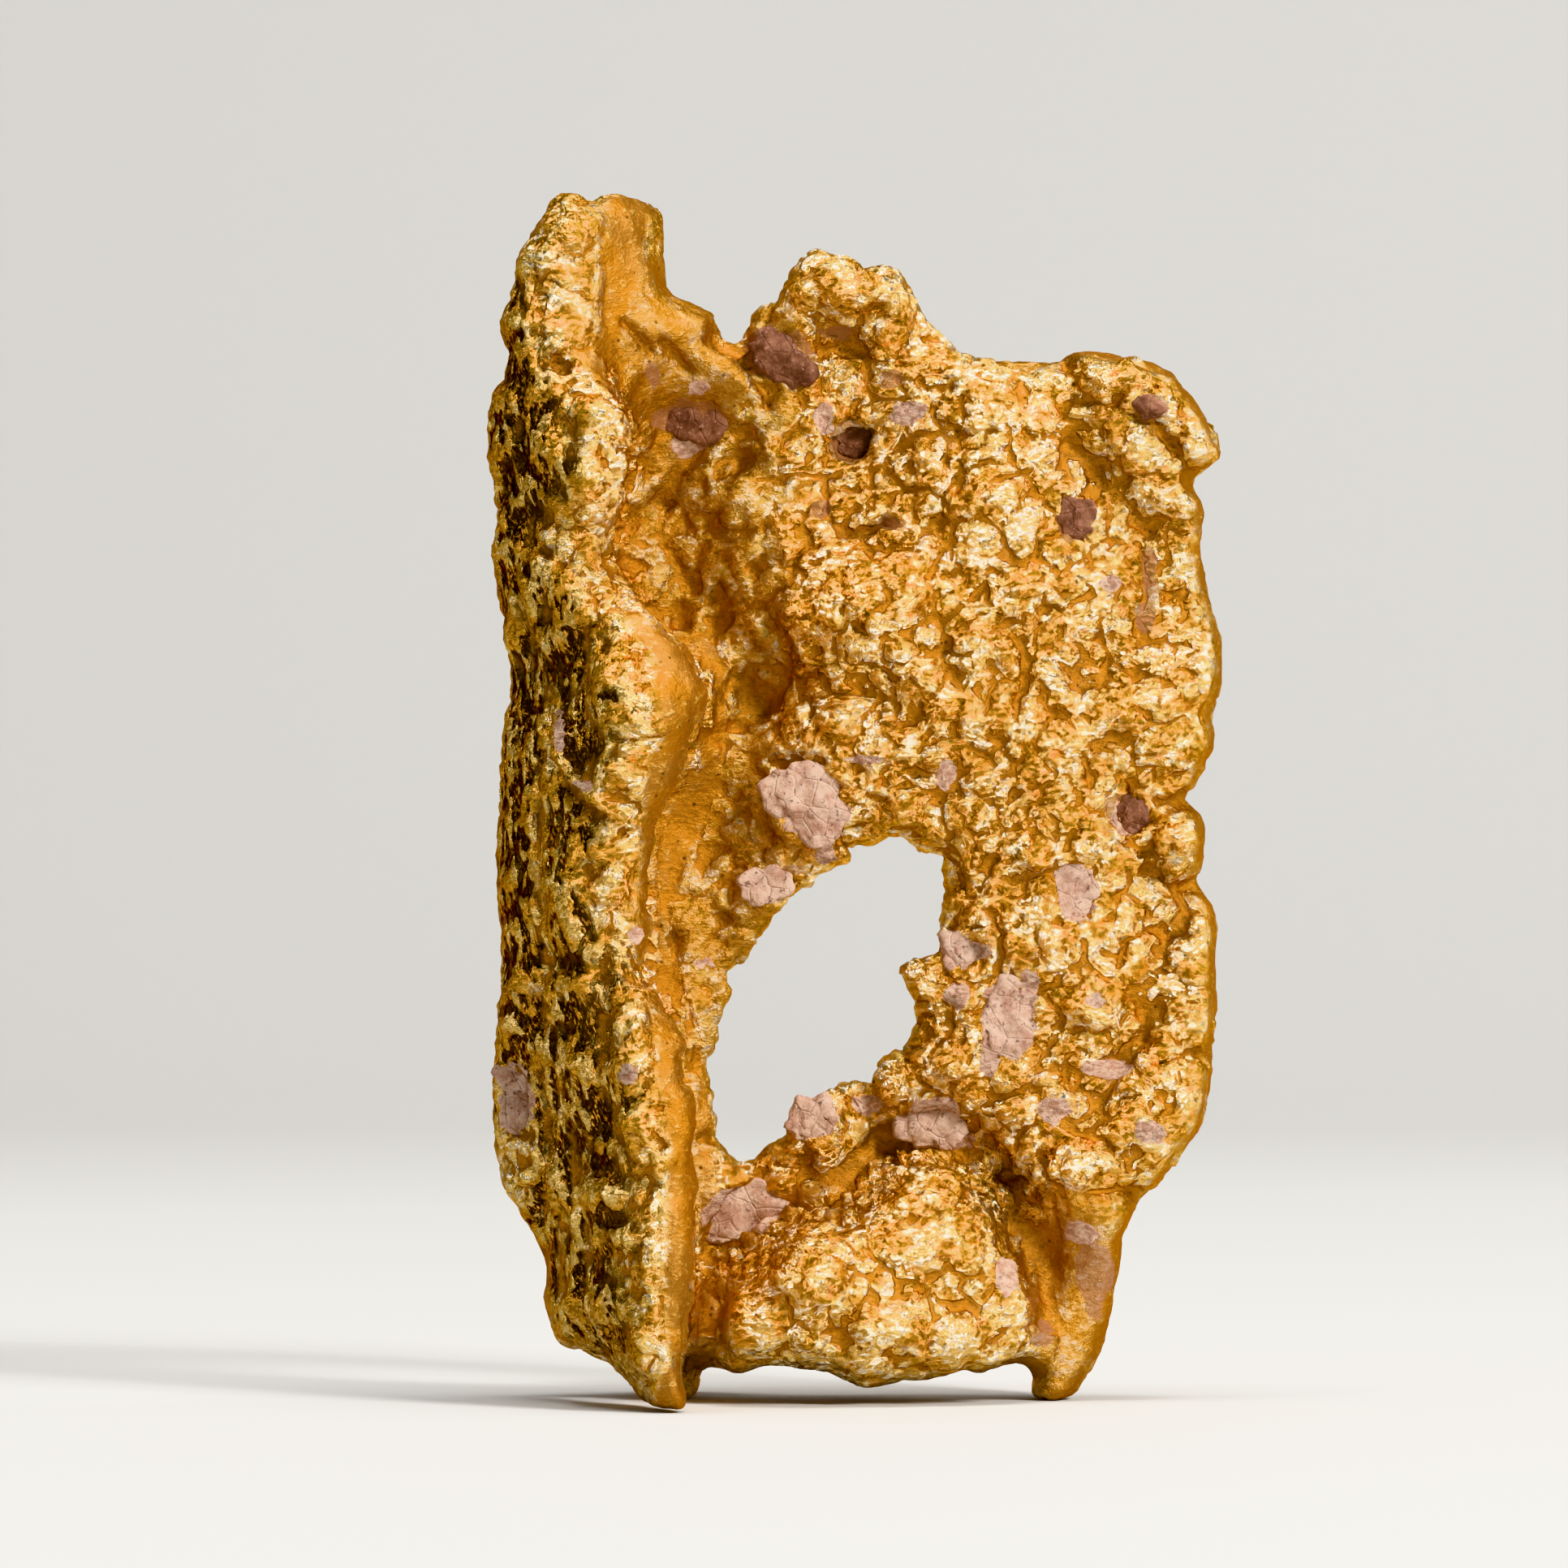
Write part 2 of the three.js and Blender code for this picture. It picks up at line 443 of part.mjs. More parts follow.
function boxBetween(low, high) {
  const size = high.map((v, i) => v - low[i]);
  const box = new THREE.BoxGeometry(...size);
  box.translate(...low.map((v, i) => v + size[i] / 2));
  return solidFromGeometry(box);
}

// How far forward the gold's surface lies at x, z: the first point inside it, coming from the front.
function surfaceAt(x, z) {
  const column = columnAt(x, z);
  let forward = 20;
  while (forward > -12 && goldField(column, x, forward) > 0) forward -= 0.05;
  return forward;
}

// A rough pebble of stone or clay, grown on every side by the margin given.
function stoneGeometry([, x, z, halfWidth, halfHeight, turn], margin, sink) {
  const stone = new THREE.IcosahedronGeometry(1, STONE_FACETS);
  const place = stone.getAttribute("position");
  const grain = (v, n) =>
    Math.sin(v.x * (3 + n) + x) * Math.sin(v.y * 4 + n) * Math.sin(v.z * (4 - n * 0.5) + z);
  for (let i = 0; i < place.count; i++) {
    const v = new THREE.Vector3().fromBufferAttribute(place, i);
    const rough = 1 + 0.16 * grain(v, 0) + 0.1 * grain(v, 1.7);
    const [width, depth, height] = [halfWidth, STONE_DEPTH, halfHeight].map((half) => half * rough + margin);
    place.setXYZ(i, v.x * width, v.y * depth, v.z * height);
  }
  stone.rotateY(THREE.MathUtils.degToRad(-turn));
  stone.translate(x, PLATE_CENTRE_Y - surfaceAt(x, z) + sink, z);
  return stone;
}

// ---- Materials ------------------------------------------------------------------------------
const gold = new THREE.MeshStandardMaterial({ color: 0xd79a32, metalness: 1, roughness: 0.32 });
const clay = new THREE.MeshStandardMaterial({ color: 0xc29b8c, metalness: 0, roughness: 0.9 });
const ironstone = new THREE.MeshStandardMaterial({ color: 0x6d4636, metalness: 0, roughness: 0.85 });

// ---- The specimen ---------------------------------------------------------------------------
const LOW = [-21, -15.3, -4];
const COUNTS = [42, 28, 68].map((mm) => Math.ceil(mm / CELL));
const STONE_SINK = 0.35; // how far a stone's middle lies behind the gold's surface

const skin = facets(goldField, LOW, COUNTS, CELL);
let nugget = solidOf(skin.positions, skin.triangles);
nugget = nugget.subtract(boxBetween([-30, -30, -10], [30, 30, 0]));

const specimen = new THREE.Group();
for (const stone of STONES) {
  nugget = nugget.subtract(solidFromGeometry(stoneGeometry(stone, POCKET_GAP, STONE_SINK)));
  const material = stone[0].startsWith("clay") ? clay : ironstone;
  specimen.add(meshOf(stone[0], solidFromGeometry(stoneGeometry(stone, 0, STONE_SINK)), material));
}
specimen.add(meshOf("native_gold", nugget, gold));

export default specimen;
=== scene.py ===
"""A native gold specimen: its detailed surface, its materials, and a soft studio light.

Metres in Blender. The sculpting works in millimetres, with x to the right and z up. The
front faces -Y, and "forward" is measured from the plate towards it.
"""
import math

import bpy
import numpy as np
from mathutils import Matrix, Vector
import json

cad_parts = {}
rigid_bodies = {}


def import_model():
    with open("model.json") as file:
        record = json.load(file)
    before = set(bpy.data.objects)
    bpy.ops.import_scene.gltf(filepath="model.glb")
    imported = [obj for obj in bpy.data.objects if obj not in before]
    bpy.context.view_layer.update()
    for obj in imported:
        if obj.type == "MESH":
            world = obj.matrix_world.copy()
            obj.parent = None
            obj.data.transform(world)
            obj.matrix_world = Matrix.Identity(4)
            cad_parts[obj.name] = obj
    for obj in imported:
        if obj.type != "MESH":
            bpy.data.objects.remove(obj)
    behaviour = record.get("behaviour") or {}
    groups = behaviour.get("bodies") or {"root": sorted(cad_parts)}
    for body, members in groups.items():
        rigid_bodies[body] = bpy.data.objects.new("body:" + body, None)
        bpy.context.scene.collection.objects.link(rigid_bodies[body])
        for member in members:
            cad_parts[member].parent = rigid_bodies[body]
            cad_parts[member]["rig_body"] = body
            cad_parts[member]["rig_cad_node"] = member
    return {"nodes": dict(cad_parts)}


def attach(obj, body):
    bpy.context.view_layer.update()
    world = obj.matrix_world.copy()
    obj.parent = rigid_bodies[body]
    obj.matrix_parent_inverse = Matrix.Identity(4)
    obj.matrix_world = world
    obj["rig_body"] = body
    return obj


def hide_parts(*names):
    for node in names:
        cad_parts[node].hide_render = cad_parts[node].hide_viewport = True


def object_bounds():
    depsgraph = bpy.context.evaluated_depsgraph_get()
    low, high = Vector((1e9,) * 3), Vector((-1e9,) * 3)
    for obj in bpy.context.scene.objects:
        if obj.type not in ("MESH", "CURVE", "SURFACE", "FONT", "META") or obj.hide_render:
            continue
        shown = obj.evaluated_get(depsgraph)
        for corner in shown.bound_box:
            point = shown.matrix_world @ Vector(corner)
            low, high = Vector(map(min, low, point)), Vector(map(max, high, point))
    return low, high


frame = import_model()
cad_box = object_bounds()

MM = 0.001
PLATE_Y = 2.2  # where forward is 0
GOLD_FACET = 0.21  # facet size of the sculpted gold
STONE_FACET = 0.13  # facet size of the lodged stones
MOST_TRIANGLES = 192000

# The outline seen from the front, clockwise from the top left: x, z.
OUTLINE = [
    (-15, 59.9), (-14.4, 60.1), (-13.9, 60.05), (-13.3, 59.85), (-12.5, 60), (-11.7, 60.05), (-10.9, 59.8),
    (-10.3, 59.7), (-9.75, 59.2), (-9.6, 58.6), (-9.6, 57.5), (-9.5, 56.3), (-9.4, 55.4), (-9, 55),
    (-8, 54.6), (-7.2, 54.15), (-6.8, 53.9), (-6.55, 53.35), (-6.1, 53.0), (-6.1, 53.3), (-5.6, 53.75),
    (-5, 54), (-5.05, 54.4), (-4.5, 54.7), (-4.05, 54.8), (-3.9, 55.2), (-3.3, 56.2), (-2.8, 57),
    (-2.1, 57.4), (-1, 57.2), (-0.2, 56.9), (0.35, 56.5), (1.3, 56.6), (2, 56.4), (2.3, 56), (2.8, 55.5),
    (3, 54.9), (3.2, 54.4), (3.9, 53.5), (4.6, 52.8), (5.2, 52.3), (6, 51.95), (7.5, 51.85), (9, 51.7),
    (10.2, 51.75), (10.5, 52.1), (11.5, 52.3), (13, 52.1), (14.2, 51.9), (15.2, 51.5), (15.9, 51.1),
    (16.5, 50.3), (17.2, 49.4), (17.7, 48.6), (18.05, 48), (18.25, 47.3), (18, 46.8), (17.4, 46.2),
    (16.7, 45.85), (16.9, 45.4), (17.15, 45.2), (17.3, 44.5), (17.35, 43.8), (17.2, 43), (17.1, 42.4),
    (17.35, 41.5), (17.5, 40.5), (17.75, 39.5), (18, 38.6), (18.4, 37.5), (18.45, 36.5), (18.25, 35.5),
    (18, 34.7), (17.7, 34.1), (17.9, 33.6), (17.95, 33.2), (17.8, 32.4), (17.5, 31.6), (17.2, 31.2),
    (17.1, 30.7), (16.8, 30.3), (16.45, 30.0), (16.6, 29.8), (17, 29.5), (17.3, 29), (17.4, 28.4),
    (17.35, 27.2), (17.3, 26.4), (16.97, 25.75), (17.2, 25.5), (17.6, 24.9), (17.95, 24.3), (18.05, 23.3),
    (17.95, 22), (17.95, 20.8), (18.05, 20), (18, 19), (17.9, 18.2), (17.75, 17.2), (17.8, 16.5),
    (17.65, 15.3), (17.4, 14.3), (17.1, 13.3), (16.4, 12.4), (15.9, 11.6), (15.3, 10.9), (14.7, 10.3),
    (14.15, 10.05), (14.2, 9.8), (13.9, 9.3), (13.5, 8.6), (13.25, 7.8), (13.25, 7), (13.1, 6.2),
    (12.85, 5.2), (12.75, 4.2), (12.5, 3.2), (12.2, 2.3), (11.8, 1.5), (11.3, 0.8), (10.6, 0.0),
    (9.9, 0.0), (9.2, 0.0), (8.8, 0.1), (8.6, 0.7), (8.75, 1.1), (8.7, 1.45), (8.45, 1.75), (7.8, 1.75),
    (7, 1.55), (6.1, 1.35), (5.2, 1.5), (4.3, 1.25), (3.2, 1.15), (2.2, 1.1), (1.3, 0.85), (0.6, 0.75),
    (0, 0.85), (-0.3, 0.95), (-0.9, 1.3), (-1.6, 1.55), (-2.8, 1.65), (-3.9, 1.85), (-4.8, 1.7),
    (-5.8, 1.3), (-7, 1.45), (-7.65, 1.55), (-7.6, 1.2), (-7.75, 0.6), (-8.2, 0.0), (-8.9, 0.0),
    (-9.6, 0.0), (-10.4, 0.3), (-11, 0.9), (-11.7, 1.6), (-12.2, 2), (-12.9, 2.4), (-13.7, 2.6),
    (-14.3, 2.65), (-14.8, 2.9), (-15.1, 3.4), (-15.3, 4.2), (-15.6, 5), (-15.65, 5.5), (-15.4, 5.9),
    (-15.45, 6.8), (-15.7, 7.6), (-16.1, 8.2), (-16.5, 9), (-17, 9.7), (-17.5, 10.4), (-17.85, 11.2),
    (-18, 12.2), (-18.1, 13.5), (-18.15, 15), (-18.05, 17), (-17.95, 19), (-17.7, 22), (-17.8, 23.5),
    (-17.9, 25), (-18, 26.5), (-17.95, 28), (-17.8, 30), (-17.75, 32), (-17.6, 33.5), (-17.4, 34.8),
    (-17.2, 36), (-17.35, 37), (-17.6, 38), (-17.7, 39.2), (-17.9, 40), (-18, 41), (-18.2, 42),
    (-18.3, 42.3), (-18.05, 43), (-17.9, 44), (-18.1, 45), (-18.15, 46), (-18.4, 46.8), (-18.4, 47.7),
    (-18.35, 48.6), (-18.3, 49.4), (-18.2, 50.1), (-17.85, 50.8), (-17.45, 51), (-17.4, 52.2),
    (-17.65, 53), (-17.75, 53.6), (-17.6, 54.2), (-17.25, 54.7), (-17.15, 55.2), (-17.05, 56.2),
    (-16.8, 57), (-16.4, 57.8), (-15.9, 58.6), (-15.5, 59.3),
]

# The window through the plate, clockwise from its top.
WINDOW = [
    (-0.3, 27.5), (0, 27.45), (0.6, 27.45), (1.2, 27.75), (2, 27.95), (2.6, 27.8), (3.1, 27.25),
    (3.5, 27.05), (4.05, 26.95), (4.3, 26.5), (4.35, 25.8), (4.3, 25), (4.1, 24.3), (4.05, 23.5),
    (3.95, 22.9), (4.0, 22.5), (4.15, 22.3), (3.7, 22.2), (3, 22.05), (2.4, 21.95), (2, 21.6),
    (1.95, 21.2), (2.2, 20.8), (2.6, 20.2), (2.9, 19.5), (2.95, 19), (2.8, 18.4), (2.4, 17.75),
    (1.8, 17.4), (1.2, 17.05), (1.05, 16.7), (0.9, 16.2), (0.6, 15.85), (0.2, 15.95), (-0.6, 15.9),
    (-1.3, 15.6), (-1.9, 15.1), (-2.7, 14.6), (-3.1, 14.05), (-3.6, 13.5), (-4.1, 12.9), (-4.6, 12.5),
    (-5, 12.3), (-5.2, 11.9), (-5.5, 11.95), (-5.95, 11.85), (-6.3, 12.3), (-6.5, 12.8), (-7.15, 13),
    (-6.8, 13.8), (-7.05, 14.2), (-7.1, 15), (-7.1, 15.8), (-7.4, 16.2), (-7.5, 16.8), (-6.95, 17.3),
    (-6.85, 18.2), (-6.7, 19), (-6.5, 19.7), (-6.2, 20.2), (-6.15, 21), (-6.5, 21.35), (-6, 21.4),
    (-5.5, 21.9), (-5, 22.7), (-4.4, 23.4), (-4, 24.1), (-3.6, 24.6), (-3, 25.1), (-2.2, 25.5),
    (-1.9, 25.9), (-1.7, 26.2), (-1.3, 26.45), (-0.9, 26.35), (-0.5, 26.55), (-0.2, 27), (-0.1, 27.2),
]


# ---- Noise ------------------------------------------------------------------------------------
# Primes and shifts that scramble whole numbers into random ones, up to the largest.
CELL_PRIMES = (73856093, 19349663, 83492791)
SEED_PRIME = 2654435761
SCRAMBLES = ((13, 1274126177), (15, 668265263))
LARGEST = 0x7FFFFFFF


def smooth(v, low=0.0, high=1.0):
    """0 at low and 1 at high, with a soft slope between them. Low may be the larger one."""
    t = np.clip((v - low) / (high - low), 0, 1)
    return t * t * (3 - 2 * t)


def bell(v, width):
    """1 where v is 0, falling to nearly 0 at two widths from it."""
    return np.exp(-((v / width) ** 2))


def hashed(cells, seed):
    """Three random numbers in 0..1 for each whole-numbered cell."""
    h = np.full(len(cells), seed * SEED_PRIME)
    for axis, prime in enumerate(CELL_PRIMES):
        h = h ^ (cells[:, axis] * prime)
    out = np.empty((len(cells), 3))
    for i in range(3):
        for shift, prime in SCRAMBLES:
            h = (h ^ (h >> shift)) * prime & LARGEST
        out[:, i] = h / LARGEST
    return out


def noise(points, seed):
    """Gradient noise, about -1..1, with features one unit across."""
    gain = 1.6
    base = np.floor(points).astype(np.int64)
    f = points - base
    u = f * f * f * (f * (f * 6 - 15) + 10)
    total = np.zeros(len(points))
    for n in range(8):
        corner = np.array([n & 1, n >> 1 & 1, n >> 2])
        gradient = hashed(base + corner, seed) * 2 - 1
        weight = np.prod(np.where(corner, u, 1 - u), axis=1)
        total += weight * np.einsum("ij,ij->i", gradient, f - corner)
    return total * gain


def billow(points, seed, octaves=3):
    """Layers of noise, each half as large and half as strong."""
    return sum(noise(points * 2**i, seed + i) / 2**i for i in range(octaves))


def cells(points, seed):
    """Distance to the nearest and to the second nearest of one random seed per cell."""
    farthest = 9.0
    base = np.floor(points).astype(np.int64)
    first = np.full(len(points), farthest)
    second = np.full(len(points), farthest)
    for n in range(27):
        corner = base + np.array([n % 3, n // 3 % 3, n // 9]) - 1
        d = np.linalg.norm(corner + hashed(corner, seed) - points, axis=1)
        second = np.minimum(second, np.maximum(d, first))
        first = np.minimum(first, d)
    return first, second


# ---- Working on a mesh ------------------------------------------------------------------------
def select_only(obj):
    bpy.ops.object.select_all(action="DESELECT")
    obj.select_set(True)
    bpy.context.view_layer.objects.active = obj


def apply_modifier(obj, kind, **settings):
    select_only(obj)
    modifier = obj.modifiers.new(kind.lower(), kind)
    for key, value in settings.items():
        setattr(modifier, key, value)
    bpy.ops.object.modifier_apply(modifier=modifier.name)


def refine(obj, facet):
    """Rounds the carried-over mesh and divides it evenly into small facets."""
    apply_modifier(obj, "SUBSURF", levels=2, render_levels=2)
    apply_modifier(obj, "REMESH", mode="VOXEL", voxel_size=facet * MM, adaptivity=0.0)


def copy_of(node, name):
    """A copy of a carried-over solid that a piece is made from, with its double vertices joined."""
    obj = frame["nodes"][node].copy()
    obj.data = obj.data.copy()
    obj.name = obj.data.name = name
    obj.parent = None
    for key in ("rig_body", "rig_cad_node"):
        if key in obj:
            del obj[key]
    bpy.context.scene.collection.objects.link(obj)
    select_only(obj)
    bpy.ops.object.mode_set(mode="EDIT")
    bpy.ops.mesh.select_all(action="SELECT")
    bpy.ops.mesh.remove_doubles(threshold=0.001 * MM)
    bpy.ops.object.mode_set(mode="OBJECT")
    return obj


def points_of(obj):
    """The vertices of a mesh in millimetres."""
    flat = np.empty(len(obj.data.vertices) * 3)
    obj.data.vertices.foreach_get("co", flat)
    return flat.reshape(-1, 3) / MM


def normals_of(obj):
    """The outward direction at each vertex."""
    flat = np.empty(len(obj.data.vertices) * 3)
    obj.data.vertex_normals.foreach_get("vector", flat)
    return flat.reshape(-1, 3)


def put_points(obj, points):
    """Moves the vertices of a mesh to places in millimetres."""
    obj.data.vertices.foreach_set("co", (points * MM).ravel())
    obj.data.update()


def edges_of(obj):
    """The two vertices of each edge."""
    flat = np.empty(len(obj.data.edges) * 2, dtype=np.int32)
    obj.data.edges.foreach_get("vertices", flat)
    return flat.reshape(-1, 2)


def averaged(values, edges, times):
    """Values spread over neighbouring vertices."""
    count = np.bincount(edges.ravel(), minlength=len(values)).astype(float)
    count = count.reshape(-1, *[1] * (values.ndim - 1))
    for _ in range(times):
        total = np.zeros_like(values)
        np.add.at(total, edges[:, 0], values[edges[:, 1]])
        np.add.at(total, edges[:, 1], values[edges[:, 0]])
        values = total / count
    return values


def attribute(obj, name, values):
    """Paints a value onto each vertex, for a material to read."""
    layer = obj.data.attributes.new(name, "FLOAT", "POINT")
    layer.data.foreach_set("value", np.asarray(values, dtype=np.float32))


# ---- Shapes in the front view -----------------------------------------------------------------
def front_view(points):
    """x and z of each point."""
    return points[:, [0, 2]]


def oval(flat, x, z, half_width, half_height):
    """0 in the middle of an oval and 1 on its edge."""
    return np.hypot((flat[:, 0] - x) / half_width, (flat[:, 1] - z) / half_height)


def to_chain(flat, chain):
    """Distance from each x, z to a chain of points."""
    best = np.full(len(flat), 99.0)
    for (ax, az), (bx, bz) in zip(chain[:-1], chain[1:]):
        d = np.array([bx - ax, bz - az])
        t = np.clip(((flat - (ax, az)) @ d) / (d @ d), 0, 1)
        best = np.minimum(best, np.linalg.norm(flat - (ax, az) - t[:, None] * d, axis=1))
    return best


def to_ring(flat, ring):
    """Distance from each x, z to a closed ring of points."""
    return to_chain(flat, ring + ring[:1])


def ring_samples(ring, outward):
    """Evenly spaced places on a ring, and the outward direction at each."""
    spacing = 0.35
    corners = np.array(ring + ring[:1])
    lengths = np.linalg.norm(np.diff(corners, axis=0), axis=1)
    along = np.concatenate([[0], np.cumsum(lengths)])
    places = np.arange(0, along[-1], spacing)
    samples = np.column_stack([np.interp(places, along, corners[:, i]) for i in (0, 1)])
    ahead = np.roll(samples, -2, axis=0) - np.roll(samples, 2, axis=0)
    out = np.column_stack([-ahead[:, 1], ahead[:, 0]]) * outward
    out /= np.linalg.norm(out, axis=1)[:, None]
    return samples, out


def rim_moves(flat, samples, out):
    """How far the rim has to move outwards to reach the ring at each sample."""
    search, strip, longest = 2.4, 0.35, 1.6
    moves = np.zeros(len(samples))
    for i, (place, direction) in enumerate(zip(samples, out)):
        offset = flat - place
        offset = offset[np.abs(offset).max(axis=1) < search]
        depth = offset @ direction
        across = np.abs(offset @ np.array([direction[1], -direction[0]]))
        level = depth[across < strip]
        moves[i] = -level.max() if len(level) else 0
    moves = np.clip(moves, -longest, longest)
    return (np.roll(moves, 1) + 2 * moves + np.roll(moves, -1)) / 4


def fit_to_ring(points, ring, outward, reach=2.6):
    """Moves the rims so that, seen from the front, they end close to the ring."""
    inner_reach, spread, least_weight, share = 0.3, 0.18, 0.6, 0.9
    flat = front_view(points)
    samples, out = ring_samples(ring, outward)
    shift = np.zeros((len(points), 2))
    weight = np.full(len(points), 1e-9)
    for place, direction, move in zip(samples, out, rim_moves(flat, samples, out)):
        near = np.where(np.abs(flat - place).max(axis=1) < reach)[0]
        offset = flat[near] - place
        fall = np.exp(-((offset @ np.array([direction[1], -direction[0]])) ** 2) / spread)
        fall *= smooth(np.linalg.norm(offset, axis=1), reach, inner_reach)
        shift[near] += fall[:, None] * move * direction
        weight[near] += fall
    moved = points.copy()
    moved[:, [0, 2]] += shift / np.maximum(weight, least_weight)[:, None] * share
    return moved


# ---- Where things lie on the gold -------------------------------------------------------------
# The flange's front rim: z, then x of its left and right edges.
RIM = [
    (0, -10.4, -7.7), (1, -10.1, -7.7), (2.5, -9.3, -7.7), (4.3, -9.5, -7.6), (7, -9.7, -7.5),
    (9.7, -9.5, -7.5), (12.4, -9.4, -7.5), (14.2, -9.5, -7.6), (15.5, -9.7, -7.8), (17, -10.0, -8.0),
    (19, -10.3, -8.4), (21, -10.6, -9.1), (23, -11.1, -9.9), (25, -10.9, -9.4), (27, -10.8, -8.6),
    (28.5, -10.7, -8.0), (30, -10.6, -7.6), (32, -10.3, -7.1), (33.6, -9.7, -6.8), (35.4, -10.0, -6.6),
    (37.2, -10.2, -6.9), (38, -10.9, -8.0), (39, -11.5, -10.2), (40.2, -12.2, -11.0),
    (41, -13.5, -12.4), (42.2, -14.2, -13.2), (43.4, -13.5, -12.8), (44.2, -12.5, -11.9),
    (45.7, -11.7, -11.1), (47, -11.2, -10.4), (48.3, -11.1, -10.2), (49.5, -11.6, -10.8),
    (50.5, -12.6, -11.4), (52, -14.1, -12.6), (54, -14.9, -12.0), (57, -14.6, -11.0),
    (60, -14.2, -10.4),
]

# Valleys and cracks of the front: depth, half width, route.
GROOVES = [
    (0.4, 0.45, [(10.5, 47.4), (11.6, 46.5), (13.4, 44.8), (14.6, 43.2)]),
    (0.3, 0.3, [(14.1, 42.6), (14.4, 41.0), (14.2, 39.6)]),
    (0.6, 0.5, [(10.3, 51.9), (10.7, 50.6), (11.3, 49.8), (12.4, 49.4), (13.1, 50.0)]),
    (0.5, 0.45, [(13.0, 49.2), (14.6, 48.6), (15.9, 47.2), (16.9, 45.9)]),
    (0.8, 0.5, [(-6.1, 53.3), (-5.4, 52.2), (-4.9, 51.2), (-4.4, 50.3), (-4.3, 49.4)]),
    (0.35, 0.5, [(-4.6, 39.6), (-3.4, 41.0), (-1.2, 42.2), (1.0, 42.6), (3.0, 42.2)]),
    (0.3, 0.35, [(-1.6, 48.6), (-1.3, 46.4), (-1.4, 44.2), (-0.4, 43.3), (1.4, 43.6)]),
    (0.15, 0.4, [(3.2, 44.4), (2.6, 46.4), (2.8, 48.0)]),
    (0.5, 0.35, [(17.2, 30.0), (16.2, 30.0), (15.0, 29.9)]),
    (0.5, 0.35, [(17.1, 25.8), (15.8, 25.6), (14.6, 26.4), (14.5, 27.6)]),
    (0.45, 0.6, [(16.5, 25.4), (15.7, 23.2), (15.0, 21.0), (14.6, 18.6), (13.2, 16.9)]),
    (0.5, 0.3, [(17.7, 17.2), (16.4, 17.3), (15.0, 16.8)]),
    (0.6, 0.45, [(14.4, 10.1), (13.0, 10.6), (11.6, 10.4)]),
    (0.9, 0.8, [(-7.4, 1.6), (-7.5, 4.0), (-7.2, 6.4), (-5.4, 7.4),
                (-3.4, 9.0), (-1.0, 9.5), (0.6, 10.9), (2.0, 12.5)]),
    (0.6, 0.8, [(2.0, 12.5), (4.2, 12.8), (5.8, 11.9), (7.0, 10.4), (8.2, 8.6), (9.4, 7.0)]),
    (0.45, 0.5, [(-7.4, 48.0), (-8.4, 46.4), (-9.8, 45.0), (-9.6, 42.6), (-8.4, 40.8)]),
    (0.4, 0.5, [(-7.0, 33.0), (-5.4, 33.6), (-3.8, 35.6), (-3.4, 37.6), (-4.4, 38.8)]),
    (0.4, 0.6, [(6.8, 12.8), (7.6, 11.2), (8.8, 10.2)]),
    (0.12, 0.4, [(4.0, 51.4), (4.9, 50.2), (4.4, 49.0)]),
    (0.4, 0.25, [(-11.5, 53.6), (-10.1, 52.2)]),
    (0.4, 0.25, [(-9.6, 52.6), (-8.3, 51.2)]),
    (0.35, 0.4, [(6.6, 32.4), (8.0, 34.0), (8.4, 36.4), (7.6, 38.6)]),
]

# Cracks of the flange's outer face: depth, half width, route.
FLANGE_GROOVES = [
    (0.5, 0.35, [(-15.0, 35.4), (-15.3, 33.4), (-15.1, 32.2), (-14.5, 30.8), (-12.8, 29.3)]),
    (-0.55, 0.3, [(-14.7, 35.0), (-14.8, 33.4), (-14.6, 32.4), (-14.0, 31.2), (-12.2, 29.8)]),
    (0.35, 0.3, [(-13.6, 38.2), (-13.5, 36.6), (-14.3, 35.4)]),
    (0.45, 0.3, [(-16.9, 41.0), (-16.4, 39.5), (-16.2, 35.0), (-15.9, 31.0), (-15.9, 27.0), (-15.6, 22.0)]),
    (0.6, 0.35, [(-15.6, 22.0), (-15.7, 18.0), (-15.6, 14.0), (-15.7, 10.5), (-16.0, 9.0)]),
    (0.45, 0.7, [(-16.8, 13.6), (-16.7, 11.2)]),
    (0.4, 0.5, [(-14.6, 18.6), (-14.8, 14.0), (-14.0, 10.6), (-13.6, 7.4)]),
    (0.4, 0.45, [(-12.4, 22.4), (-12.6, 19.6), (-12.2, 14.2), (-10.9, 12.4)]),
    (0.3, 0.3, [(-16.8, 36.4), (-16.5, 34.4), (-16.9, 32.6)]),
]

